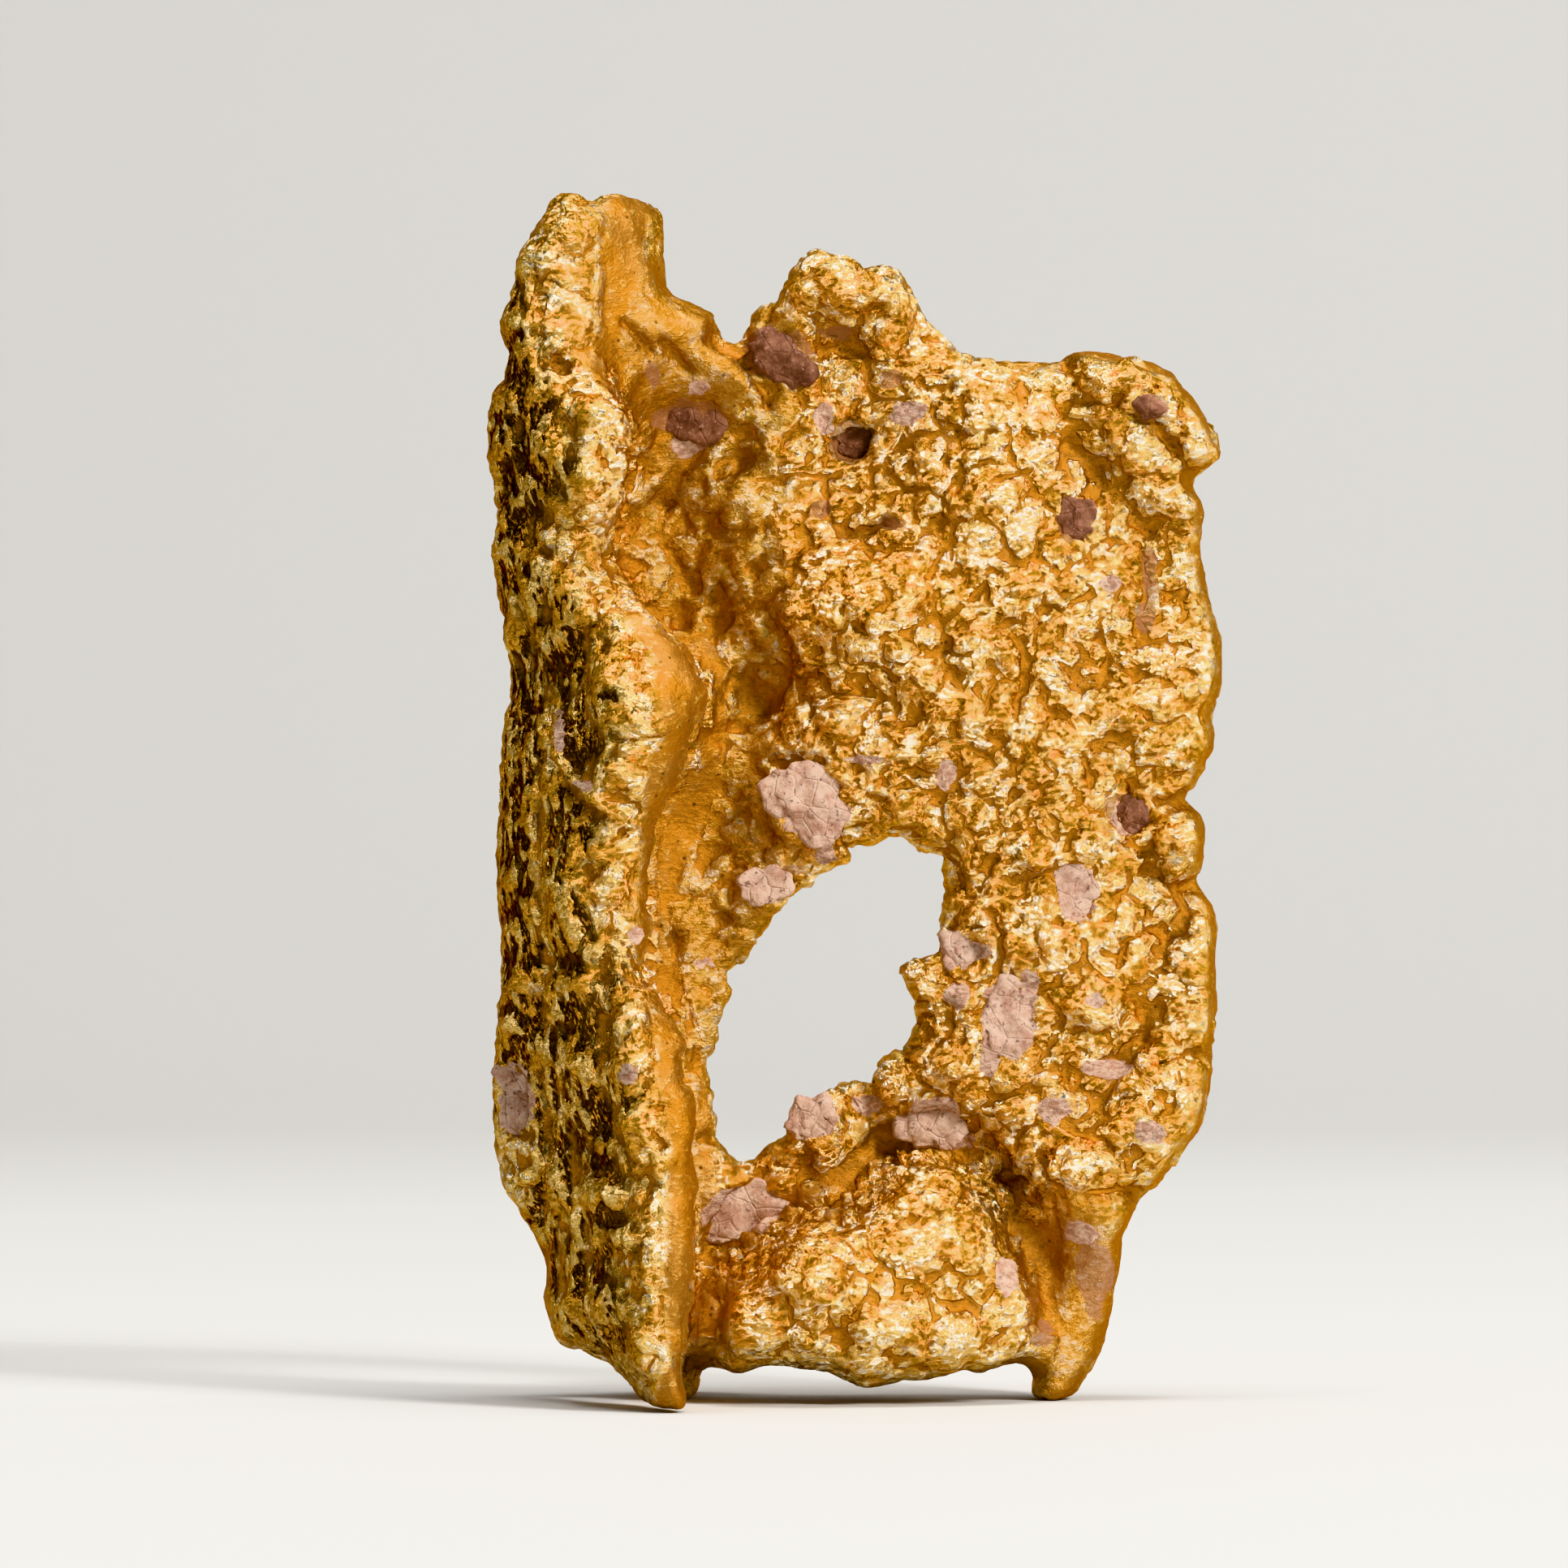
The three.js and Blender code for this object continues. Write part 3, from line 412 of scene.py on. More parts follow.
# Lumps and pits seen from the front: x, z, half width, half height, height of the form.
FORMS = [
    (-2.3, 6.9, 1.9, 1.8, 0.8), (-0.9, 52.8, 1.6, 1.3, -0.5), (0.0, 48.0, 0.9, 1.1, -0.7),
    (-8.9, 39.1, 0.8, 1.2, -0.35), (-6.8, 40.2, 0.6, 0.8, -0.35), (-8.6, 43.5, 0.8, 1.0, -0.35),
    (-5.6, 43.4, 0.6, 0.7, -0.35), (-5.3, 35.4, 1.2, 1.7, -0.4), (-10.6, 42.6, 0.8, 1.3, -0.3),
    (-5.9, 46.8, 0.9, 0.8, -0.35), (8.3, 10.9, 2.1, 2.1, 0.8), (8.8, 11.6, 0.5, 0.7, -0.4),
    (9.7, 10.3, 0.5, 0.5, -0.25), (8.8, 40.9, 1.1, 0.9, 0.4), (5.9, 41.5, 1.0, 0.8, 0.4),
    (1.2, 40.4, 2.0, 1.6, 0.4), (-0.6, 38.6, 1.4, 1.1, 0.35), (3.0, 36.2, 1.2, 1.0, 0.35),
    (5.6, 37.4, 1.0, 1.2, 0.35), (11.4, 38.8, 1.2, 0.9, 0.35), (9.2, 36.4, 1.0, 0.8, 0.35),
    (13.1, 34.2, 1.1, 1.0, 0.4), (10.9, 33.0, 0.9, 0.9, 0.35), (15.9, 27.8, 1.1, 1.7, 0.5),
    (9.1, 27.1, 0.8, 0.7, 0.5), (12.0, 28.0, 0.9, 0.9, 0.35), (9.0, 24.4, 0.9, 0.8, 0.35),
    (12.3, 23.2, 1.0, 0.8, 0.35), (11.4, 19.6, 1.0, 0.8, 0.35), (5.3, 20.0, 0.8, 0.7, 0.3),
    (13.4, 13.8, 1.2, 1.2, 0.4), (11.0, 12.2, 1.4, 1.1, 0.4), (16.2, 14.6, 0.9, 1.2, 0.35),
    (5.0, 16.6, 0.9, 0.7, 0.3), (-0.8, 55.8, 1.3, 1.2, 0.4), (1.6, 55.0, 1.0, 0.9, 0.3),
    (13.0, 51.0, 1.4, 0.7, 0.4), (16.6, 48.0, 1.0, 1.0, 0.4), (7.0, 48.8, 1.5, 1.1, 0.35),
    (6.6, 45.2, 1.3, 1.0, 0.3), (1.6, 3.8, 1.7, 1.2, 0.5), (4.9, 3.3, 1.1, 1.5, 0.45),
    (2.7, 7.6, 1.3, 1.4, 0.45), (3.4, 10.6, 1.5, 1.1, 0.5), (5.8, 8.0, 1.1, 1.4, 0.4),
    (-5.2, 3.9, 1.6, 1.3, 0.6), (-2.2, 3.4, 1.2, 0.9, 0.4), (7.6, 5.2, 1.1, 1.6, 0.3),
    (11.9, 10.1, 1.9, 2.2, 0.5), (2.4, 2.4, 1.2, 0.8, -0.35), (-1.0, 3.6, 0.9, 0.9, -0.35),
    (7.6, 2.6, 1.0, 0.7, 0.3), (-3.0, 30.8, 1.1, 1.3, -0.3), (3.4, 32.6, 1.3, 1.0, 0.35),
    (-0.4, 34.0, 1.2, 1.0, 0.3),
]

# The same on the flange's outer face.
FLANGE_FORMS = [
    (-14.8, 51.7, 0.7, 0.5, -0.6), (-13.7, 52.2, 0.6, 0.5, -0.4), (-15.2, 47.4, 1.2, 1.6, 0.35),
    (-12.9, 49.0, 1.3, 1.2, 0.35), (-15.8, 44.2, 1.0, 0.8, -0.35), (-15.3, 42.2, 0.6, 0.5, -0.5),
    (-13.4, 46.2, 1.0, 1.2, 0.35), (-16.0, 40.4, 1.0, 1.6, 0.35), (-14.0, 40.0, 0.9, 1.4, 0.35),
    (-14.8, 38.2, 0.9, 1.0, 0.3), (-11.9, 35.2, 1.2, 2.2, 0.45), (-12.2, 31.4, 1.0, 1.4, 0.35),
    (-12.2, 26.8, 1.0, 1.8, 0.4), (-14.3, 25.4, 1.1, 2.6, 0.4), (-13.7, 21.0, 0.8, 0.7, 0.5),
    (-14.9, 20.0, 0.7, 1.2, 0.35), (-11.4, 16.7, 1.1, 1.1, 0.45), (-13.1, 16.7, 0.7, 1.2, 0.4),
    (-14.0, 17.2, 0.5, 1.0, 0.3), (-10.7, 18.4, 0.9, 1.8, 0.45), (-10.6, 14.2, 1.1, 1.8, 0.3),
    (-12.3, 10.7, 1.4, 0.9, 0.55), (-11.5, 8.6, 0.9, 0.8, 0.4), (-14.0, 9.0, 0.9, 1.4, -0.3),
    (-9.9, 6.4, 0.6, 2.4, 0.35), (-12.3, 5.2, 0.9, 1.3, 0.4), (-13.9, 5.0, 0.8, 1.0, 0.3),
    (-10.6, 3.0, 0.7, 1.4, 0.3), (-13.2, 32.8, 0.9, 2.0, -0.35), (-16.6, 20.8, 0.6, 2.0, 0.35),
    (-16.9, 12.6, 0.6, 0.6, 0.5), (-16.6, 11.2, 0.5, 0.5, 0.5), (-17.0, 18.6, 0.5, 0.8, 0.4),
]

# Places by x, z, half width and half height: first those where the surface runs over softly.
SOFTENED = [(-7.0, 33.0, 2.6, 6.5), (-8.5, 26.5, 2.2, 4.6), (-9.6, 49.4, 2.6, 3.6), (8.4, 11.2, 2.4, 2.4)]
BRIGHT_KNOB = (-16.9, 12.4, 1.1, 2.6)
TOP_HOLLOW = (-9.6, 51.6, 4.2, 5.6)
RIGHT_LEG = (11.0, 5.0, 2.4, 5.6)
TROUGH = [(-7.4, 3.0), (-7.0, 7.0), (-4.6, 8.6), (-0.6, 10.6), (1.6, 13.0)]

# Thin films on the gold, by x, z, half width and half height.
CLAY_FILMS = [
    (-2.3, 29.6, 1.7, 1.7), (-1.5, 27.2, 0.5, 0.5), (-5.6, 9.4, 2.0, 1.2), (-16.8, 15.2, 0.8, 1.8),
    (-11.3, 16.6, 0.5, 0.6), (10.9, 25.3, 0.9, 1.5), (7.5, 19.0, 1.4, 2.0), (5.0, 20.2, 0.7, 0.6),
    (3.9, 13.8, 1.5, 1.3), (5.5, 22.3, 1.0, 0.6), (-2.2, 13.8, 1.2, 0.7), (-4.5, 25.5, 0.9, 0.7),
    (4.5, 31.2, 0.5, 0.8), (13.6, 29.2, 0.9, 1.0), (12.4, 16.6, 1.4, 0.5), (-10.9, 23.4, 0.4, 0.5),
    (-7.5, 21.7, 0.5, 0.3), (11.9, 19.9, 0.5, 0.5), (12.6, 40.7, 0.6, 0.4), (9.9, 14.4, 0.8, 0.7),
    (0.4, 31.9, 1.2, 0.25), (-8.3, 47.6, 0.9, 0.7), (2.6, 49.2, 1.0, 0.6), (-1.6, 48.8, 0.6, 0.8),
    (6.6, 17.0, 0.5, 0.9), (8.6, 20.8, 0.5, 0.7), (14.6, 13.4, 0.8, 0.6), (0.6, 14.6, 0.8, 0.5),
    (11.2, 8.4, 0.9, 0.6), (7.4, 6.4, 0.6, 0.9), (5.4, 12.9, 0.6, 0.4), (-7.8, 50.4, 0.6, 0.4),
    (-14.7, 33.4, 0.3, 1.1), (-13.6, 30.8, 0.6, 0.3),
]
RUST_FILMS = [
    (-3.8, 52.0, 1.8, 1.3), (-8.3, 48.9, 1.9, 0.9), (-0.4, 47.8, 1.0, 1.2), (10.9, 43.8, 0.9, 0.9),
    (14.7, 49.5, 0.9, 0.7), (-10.1, 51.0, 0.4, 0.6), (1.8, 43.7, 0.7, 0.4), (1.6, 50.8, 0.7, 0.5),
    (-1.0, 53.2, 0.9, 0.4), (11.9, 6.4, 1.0, 2.0), (9.2, 3.4, 0.6, 0.7), (14.6, 41.0, 0.4, 1.6),
    (14.4, 39.0, 0.5, 0.8), (13.2, 29.6, 0.9, 0.7), (-3.2, 26.4, 0.6, 0.3), (3.6, 13.9, 0.8, 0.6),
    (-1.8, 44.4, 0.6, 0.5), (12.6, 16.4, 0.8, 0.4), (2.4, 13.2, 0.7, 0.4),
]


def rim_edges(z):
    """x of the left and right edges of the flange's front rim at each z."""
    heights, left, right = zip(*RIM)
    return np.interp(z, heights, left), np.interp(z, heights, right)


def facing_front(points, normals):
    """1 where the surface looks to the front with nothing before it, down to 0 elsewhere."""
    bin_size, first_bin, bins_across = 0.7, -40, 180
    bins = np.floor((front_view(points) - first_bin) / bin_size).astype(int)
    nearest = np.full((bins_across, bins_across), -99.0)
    forward = PLATE_Y - points[:, 1]
    np.maximum.at(nearest, (bins[:, 0], bins[:, 1]), forward)
    depth = forward - nearest[bins[:, 0], bins[:, 1]]
    return smooth(depth, -2.0, -0.9) * smooth(-normals[:, 1], -0.1, 0.35)


def bright_knob(points):
    """1 on the bright knob low on the flange's outer edge, which gets a painted highlight."""
    return smooth(oval(front_view(points), *BRIGHT_KNOB), 1.1, 0.8)


def fibrous_and_shaded(points, normals, flank, drift):
    """1 on the flange's outer face, where it has strands and painted shade, less on its clean top and its
    bright knob.
    """
    x, z = points[:, 0], points[:, 2]
    left, _ = rim_edges(z)
    side = smooth(-normals[:, 0], 0.55, 0.8) * smooth(-15.5 - x, -0.5, 0.5)
    fibre_and_shade = np.maximum(flank * smooth(left - x + 1.7 * drift, 0.5, 2.8), side)
    fibre_and_shade *= 1 - 0.95 * smooth(z + 3.2 * (x + 14) + 2.0 * drift, 45, 51)
    return fibre_and_shade * (1 - bright_knob(points))


def worn(points, front, flank, wander):
    """1 where the gold is worn to satin: rims, smooth hollows, the right leg and half of the back."""
    x, z = points[:, 0], points[:, 2]
    flat = front_view(points)
    left, right = rim_edges(z)
    crest = smooth(z, 38, 39.5) * smooth(z, 49.5, 48)
    rim = front * smooth(x - left + wander, -0.1, 0.3) * smooth(right - x + 0.4, -0.3, 0.3)
    rim *= 1 - 0.8 * crest
    rim *= 1 - 0.7 * smooth(z, 51, 53) * smooth(-12.6 - x, -0.6, 0.6)
    edge = smooth(to_ring(flat, OUTLINE), 0.8, 0.2) * smooth(x, 6, 12) * smooth(wander, -0.35, 0.0)
    hollow = front * smooth(oval(flat, *TOP_HOLLOW), 1.1, 0.9) * smooth(x - right, -0.3, 0.4)
    hollow *= smooth(-4.6 - x + wander, -0.3, 0.3)
    leg = front * smooth(oval(flat, *RIGHT_LEG), 1.1, 0.8)
    trough = front * smooth(to_chain(flat, TROUGH), 1.3, 0.6)
    rubbed = (1 - front) * 0.7 * smooth(noise(points / 6.0, seed=73), -0.05, 0.2)
    satin = np.clip(rim + edge + 0.8 * hollow + 0.7 * leg + 0.9 * trough + rubbed, 0, 1)
    return satin * (1 - flank)


def regions(points, normals):
    """The kinds of surface, each 0..1: facing the front, fibrous with painted shade, worn satin, and dull.
    """
    x, z = points[:, 0], points[:, 2]
    wander = 0.35 * billow(points / 1.6, seed=71)
    drift = billow(points / 2.8, seed=72)
    front = facing_front(points, normals)
    left, right = rim_edges(z)
    flank = front * smooth(left - x + wander, -0.2, 0.3)
    satin = worn(points, front, flank, wander)
    dull = front * smooth(x - right, 0, 0.6) * smooth(-3.2 - x + 1.6 * drift, -1.0, 1.0)
    dull *= smooth(z, 11, 13) * (1 - satin)
    return front, fibrous_and_shaded(points, normals, flank, drift), satin, dull


def film(flat, patches, wander):
    """1 where one of the patches lies, with uneven outlines."""
    total = np.zeros(len(flat))
    for patch in patches:
        total = np.maximum(total, smooth(oval(flat, *patch) + 0.3 * wander, 1.25, 0.75))
    return total


# ---- Sculpting the gold -----------------------------------------------------------------------
def groove_depth(flat, grooves, wander):
    """How deep the valleys and cracks run at each x, z."""
    total = np.zeros(len(flat))
    for depth, half_width, route in grooves:
        total += depth * bell(to_chain(flat, route) * (1 + 0.4 * wander), half_width)
    return total


def form_height(flat, forms, wander):
    """How high the lumps stand at each x, z, with pits below 0."""
    total = np.zeros(len(flat))
    for *place, height in forms:
        r = oval(flat, *place) * (1 + 0.3 * wander)
        total += height * np.clip(1 - (r / 1.25) ** 2, 0, 1) ** 1.3
    return total


def soften(points, edges):
    """Lets the surface run over softly at the softened places of the front."""
    flat = front_view(points)
    soft = np.zeros(len(points))
    for place in SOFTENED:
        soft = np.maximum(soft, smooth(oval(flat, *place), 1.1, 0.6))
    soft *= smooth(PLATE_Y - points[:, 1], -1.5, -0.5)
    return points + soft[:, None] * (averaged(points, edges, 45) - points)


def placed_relief(points, wander):
    """The lumps, pits, valleys and cracks that have a place of their own."""
    flat = front_view(points)
    flank = smooth(rim_edges(points[:, 2])[0] - points[:, 0], -0.2, 0.4)
    plate = form_height(flat, FORMS, wander) - groove_depth(flat, GROOVES, wander)
    flange = 1.3 * form_height(flat, FLANGE_FORMS, wander) - groove_depth(flat, FLANGE_GROOVES, wander)
    return (1 - flank) * plate + flank * flange


def foil_relief(points):
    """Crumpled foil, and how far from the middle of a pit each point is."""
    warp = np.column_stack([billow(points / 1.6, seed, 2) for seed in (11, 12, 13)])
    warped = points + 0.5 * warp
    big_first, big_second = cells(warped / 2.3, seed=21)
    small_first, small_second = cells(warped / 1.0, seed=22)
    worms = 0.26 * np.tanh(np.abs(noise(warped / 2.4, seed=31)) / 0.13)
    worms += 0.14 * np.abs(noise(warped / 1.1, seed=32))
    swells = 0.46 * (0.5 - big_first**2) + 0.22 * billow(points / 3.4, seed=33, octaves=2)
    beads = 0.16 * (0.5 - small_first**2) * smooth(noise(points / 4.0, seed=34), -0.3, 0.3)
    folds = -0.16 * bell(big_second - big_first, 0.11)
    folds -= 0.05 * bell(small_second - small_first, 0.12)
    layers = 0.08 * billow(warped * np.array([1 / 2.2, 1 / 2.2, 1 / 0.75]), seed=35, octaves=2)
    pit_distance, _ = cells(warped / 1.9, seed=23)
    return worms - 0.2 + swells + beads + folds + layers, pit_distance


def fibre_relief(points):
    """Strands that lean with the flange, over broader swells."""
    leaning = points + np.array([0.4, 0.0, 0.0]) * points[:, 2:]
    strands = 0.17 * billow(leaning * np.array([1 / 0.7, 1 / 0.7, 1 / 2.6]), seed=51)
    swells = 0.14 * billow(points / 0.8, seed=52, octaves=2)
    swells += 0.28 * billow(points / 2.4, seed=53, octaves=2)
    return strands + swells


def satin_relief(points):
    """Low swells of the worn gold."""
    return 0.1 * billow(points / 1.7, seed=61, octaves=2) + 0.05 * billow(points / 0.6, seed=62, octaves=2)


def sculpt(obj):
    """Works the natural surface into the gold."""
    edges = edges_of(obj)
    points = fit_to_ring(points_of(obj), OUTLINE, 1)
    points = soften(fit_to_ring(points, WINDOW, -1), edges)
    put_points(obj, points)
    normals = averaged(normals_of(obj), edges, 2)
    front, fibre_and_shade, satin, dull = regions(points, normals)
    flat = front_view(points)
    wander = billow(points / 1.3, seed=5)
    lodged = np.maximum(film(flat, CLAY_FILMS, wander), film(flat, RUST_FILMS, wander)) * front
    near_window = smooth(to_ring(flat, WINDOW), 1.3, 0.2)
    points = points + normals * (placed_relief(points, wander) * front)[:, None]
    put_points(obj, points)
    normals = averaged(normals_of(obj), edges, 1)

    foot = smooth(points[:, 2], 12, 9)
    rough = (1 - 0.85 * satin) * (1 - fibre_and_shade) * (1 - 0.35 * dull) * (1 - 0.45 * foot)
    foil, pit_distance = foil_relief(points)
    height = rough * (1 - 0.6 * lodged) * foil
    height -= 0.3 * dull * smooth(pit_distance, 0.5, 0.2)
    height += fibre_and_shade * fibre_relief(points)
    height += satin * (1 - fibre_and_shade) * satin_relief(points)
    height += near_window * 0.16 * billow(points / 0.7, seed=63, octaves=2)
    points = points + normals * height[:, None]
    points = fit_to_ring(points, OUTLINE, 1, reach=1.4)
    points = fit_to_ring(points, WINDOW, -1, reach=1.2)
    put_points(obj, points)


def paint(obj):
    """Marks what the materials need: the kinds of surface, hollows, patches of painted light and shade, and
    films of clay and rust.
    """
    points, edges = points_of(obj), edges_of(obj)
    normals = averaged(normals_of(obj), edges, 1)
    x, z = points[:, 0], points[:, 2]
    flat = front_view(points)
    front, fibre_and_shade, satin, dull = regions(points, normals)
    near = np.einsum("ij,ij->i", averaged(points, edges, 3) - points, normals)
    wide = np.einsum("ij,ij->i", averaged(points, edges, 24) - points, normals)
    wander = billow(points / 1.2, seed=81)
    # Painted light: brighter low on the foot, a little on the upper right, and much on the bright knob.
    painted_brightness = 0.06 * smooth(z, 13, 8) + 0.03 * smooth(x, 2, 8) * smooth(z, 32, 40)
    painted_brightness += 0.4 * bright_knob(points)
    painted = {
        "fibre_and_shade": fibre_and_shade,
        "satin": satin,
        "dull": dull,
        # Patches of painted light and shade on the foil, with the painted light added.
        "patch": 0.5 + painted_brightness + 0.6 * billow(points / 1.3, seed=83),
        "blotch": smooth(billow(points / 2.4, seed=84, octaves=2), -0.4, 0.4),
        "hollow": np.clip(0.5 + 5 * near + 2.2 * wide, 0, 1),
        "clay": film(flat, CLAY_FILMS, wander) * front,
        "rust": film(flat, RUST_FILMS, wander) * front,
    }
    for name, values in painted.items():
        attribute(obj, name, values)


# ---- Materials --------------------------------------------------------------------------------
HALF = (0.5, 0.5, 0.5)


class Nodes:
    """A material's node tree, built from small named steps."""

    def __init__(self, name):
        self.material = bpy.data.materials.new(name)
        self.material.use_nodes = True
        self.tree = self.material.node_tree
        self.shader = self.tree.nodes["Principled BSDF"]
        self.place = self.tree.nodes.new("ShaderNodeTexCoord").outputs["Object"]

    def add(self, kind, inputs=(), **settings):
        """A node of a kind, with its settings made and its inputs fed."""
        node = self.tree.nodes.new("ShaderNode" + kind)
        for key, value in settings.items():
            setattr(node, key, value)
        for socket, value in dict(inputs).items():
            self.feed(node.inputs[socket], value)
        return node

    def feed(self, socket, value):
        """Joins another node's output to the socket, or sets the socket to a plain value."""
        if isinstance(value, bpy.types.NodeSocket):
            self.tree.links.new(value, socket)
        else:
            socket.default_value = value

    def finish(self, base, **others):
        """Gives the shader its base colour and its other inputs, and gives back the material."""
        for name, value in {"Base Color": base, **others}.items():
            self.feed(self.shader.inputs[name], value)
        return self.material

    def stretched(self, scale):
        return self.add("Mapping", {"Vector": self.place, "Scale": scale}).outputs[0]

    def slanted(self, turn, length):
        """Places drawn out along lines that lean from the upright by a turn in radians."""
        inputs = {"Vector": self.place, "Rotation": (0.0, -turn, 0.0), "Scale": (1.0, 1.0, length)}
        return self.add("Mapping", inputs, vector_type="TEXTURE").outputs[0]

    def noise(self, scale, detail, roughness=0.55, place=None):
        inputs = {"Vector": place or self.place, "Scale": scale, "Detail": detail, "Roughness": roughness}
        return self.add("TexNoise", inputs).outputs[0]

    def voronoi(self, scale, feature="F1"):
        inputs = {"Vector": self.place, "Scale": scale}
        return self.add("TexVoronoi", inputs, feature=feature).outputs["Distance"]

    def mask(self, name):
        """A value painted on the vertices."""
        return self.add("Attribute", attribute_name=name).outputs["Fac"]

    def math(self, operation, a, b=0.0, c=0.0):
        return self.add("Math", {0: a, 1: b, 2: c}, operation=operation).outputs[0]

    def chain(self, operation, first, others):
        """One value from several, by the same operation again and again."""
        for other in others:
            first = self.math(operation, first, other)
        return first

    def times(self, first, *others):
        return self.chain("MULTIPLY", first, others)

    def plus(self, first, *others):
        return self.chain("ADD", first, others)

    def most(self, first, *others):
        return self.chain("MAXIMUM", first, others)

    def rest(self, value):
        """What is left of 1."""
        return self.math("SUBTRACT", 1.0, value)

    def span(self, value, low, high, out_low=0.0, out_high=1.0):
        """A soft slope from out_low, where the value is low, to out_high, where it is high."""
        inputs = {"Value": value, "From Min": low, "From Max": high, "To Min": out_low, "To Max": out_high}
        return self.add("MapRange", inputs, interpolation_type="SMOOTHSTEP").outputs[0]

    def mix(self, share, a, b):
        node = self.add("Mix", data_type="RGBA")
        for socket, value in ((0, share), (6, a), (7, b)):
            self.feed(node.inputs[socket], value)
        return node.outputs[2]

    def vector(self, operation, *vectors):
        return self.add("VectorMath", dict(enumerate(vectors)), operation=operation).outputs[0]

    def scaled(self, vector, share):
        return self.add("VectorMath", {0: vector, "Scale": share}, operation="SCALE").outputs[0]

    def along(self, vector, direction):
        """How far a vector reaches in a direction."""
        return self.add("VectorMath", {0: vector, 1: direction}, operation="DOT_PRODUCT").outputs["Value"]

    def facets(self, scale, place):
        """A tilt that differs from one small cell to the next, as in crumpled foil."""
        warp = self.add("TexNoise", {"Vector": place, "Scale": scale * 0.5, "Detail": 1.0}).outputs["Color"]
        warp = self.scaled(self.vector("SUBTRACT", warp, HALF), 1.2 / scale)
        where = self.vector("ADD", place, warp)
        tilt = self.add("TexVoronoi", {"Vector": where, "Scale": scale}).outputs["Color"]
        return self.vector("SUBTRACT", tilt, HALF)

    def tilted(self, normal, tilt, share):
        """The normal, tilted by a share of the facets' tilt."""
        return self.vector("NORMALIZE", self.vector("ADD", normal, self.scaled(tilt, share)))

    def bump(self, height, distance, strength):
        return self.add("Bump", {"Height": height, "Distance": distance, "Strength": strength}).outputs[0]


def colour(red, green, blue):
    """A colour given in 0..255 as seen on a screen, for a shader."""
    return (*[((v / 255 + 0.055) / 1.055) ** 2.4 for v in (red, green, blue)], 1.0)


# The first is a lit copy of the second: painted light on the foil's lit patches, and painted highlights on
# crinkle tops.
GOLD_BRIGHT = colour(250, 212, 128)
GOLD_WARM = colour(230, 172, 78)
# Painted highlight: near-white cream for foil facets that tilt towards the key light.
GOLD_HIGHLIGHT = colour(255, 246, 220)
# Painted dark reflection: olive brown for foil facets that tilt away from the light, and for low crinkles
# of dull gold.
GOLD_DARK_REFLECTION = colour(126, 98, 34)
GOLD_SATIN = colour(166, 117, 58)
# A random satin tone, and also a painted reflection: the deep orange of gold reflecting gold, laid into
# creases.
GOLD_ORANGE = colour(172, 115, 43)
GOLD_DULL = colour(150, 106, 46)
# Painted shade and painted glints of the flange's outer face, which faces away from the lights.
FIBRE_SHADE = colour(50, 27, 8)
FIBRE_GLINT = colour(238, 172, 90)
GRAZE = colour(210, 156, 84)
DIRT = colour(84, 50, 20)
CLAY = colour(222, 190, 168)
CLAY_DARK = colour(180, 136, 114)
CLAY_SPOT = colour(96, 62, 54)
RUST = colour(150, 104, 82)
RUST_DARK = colour(90, 56, 42)
RUST_SPOT = colour(176, 130, 110)
FLOOR_PALE = colour(200, 198, 194)


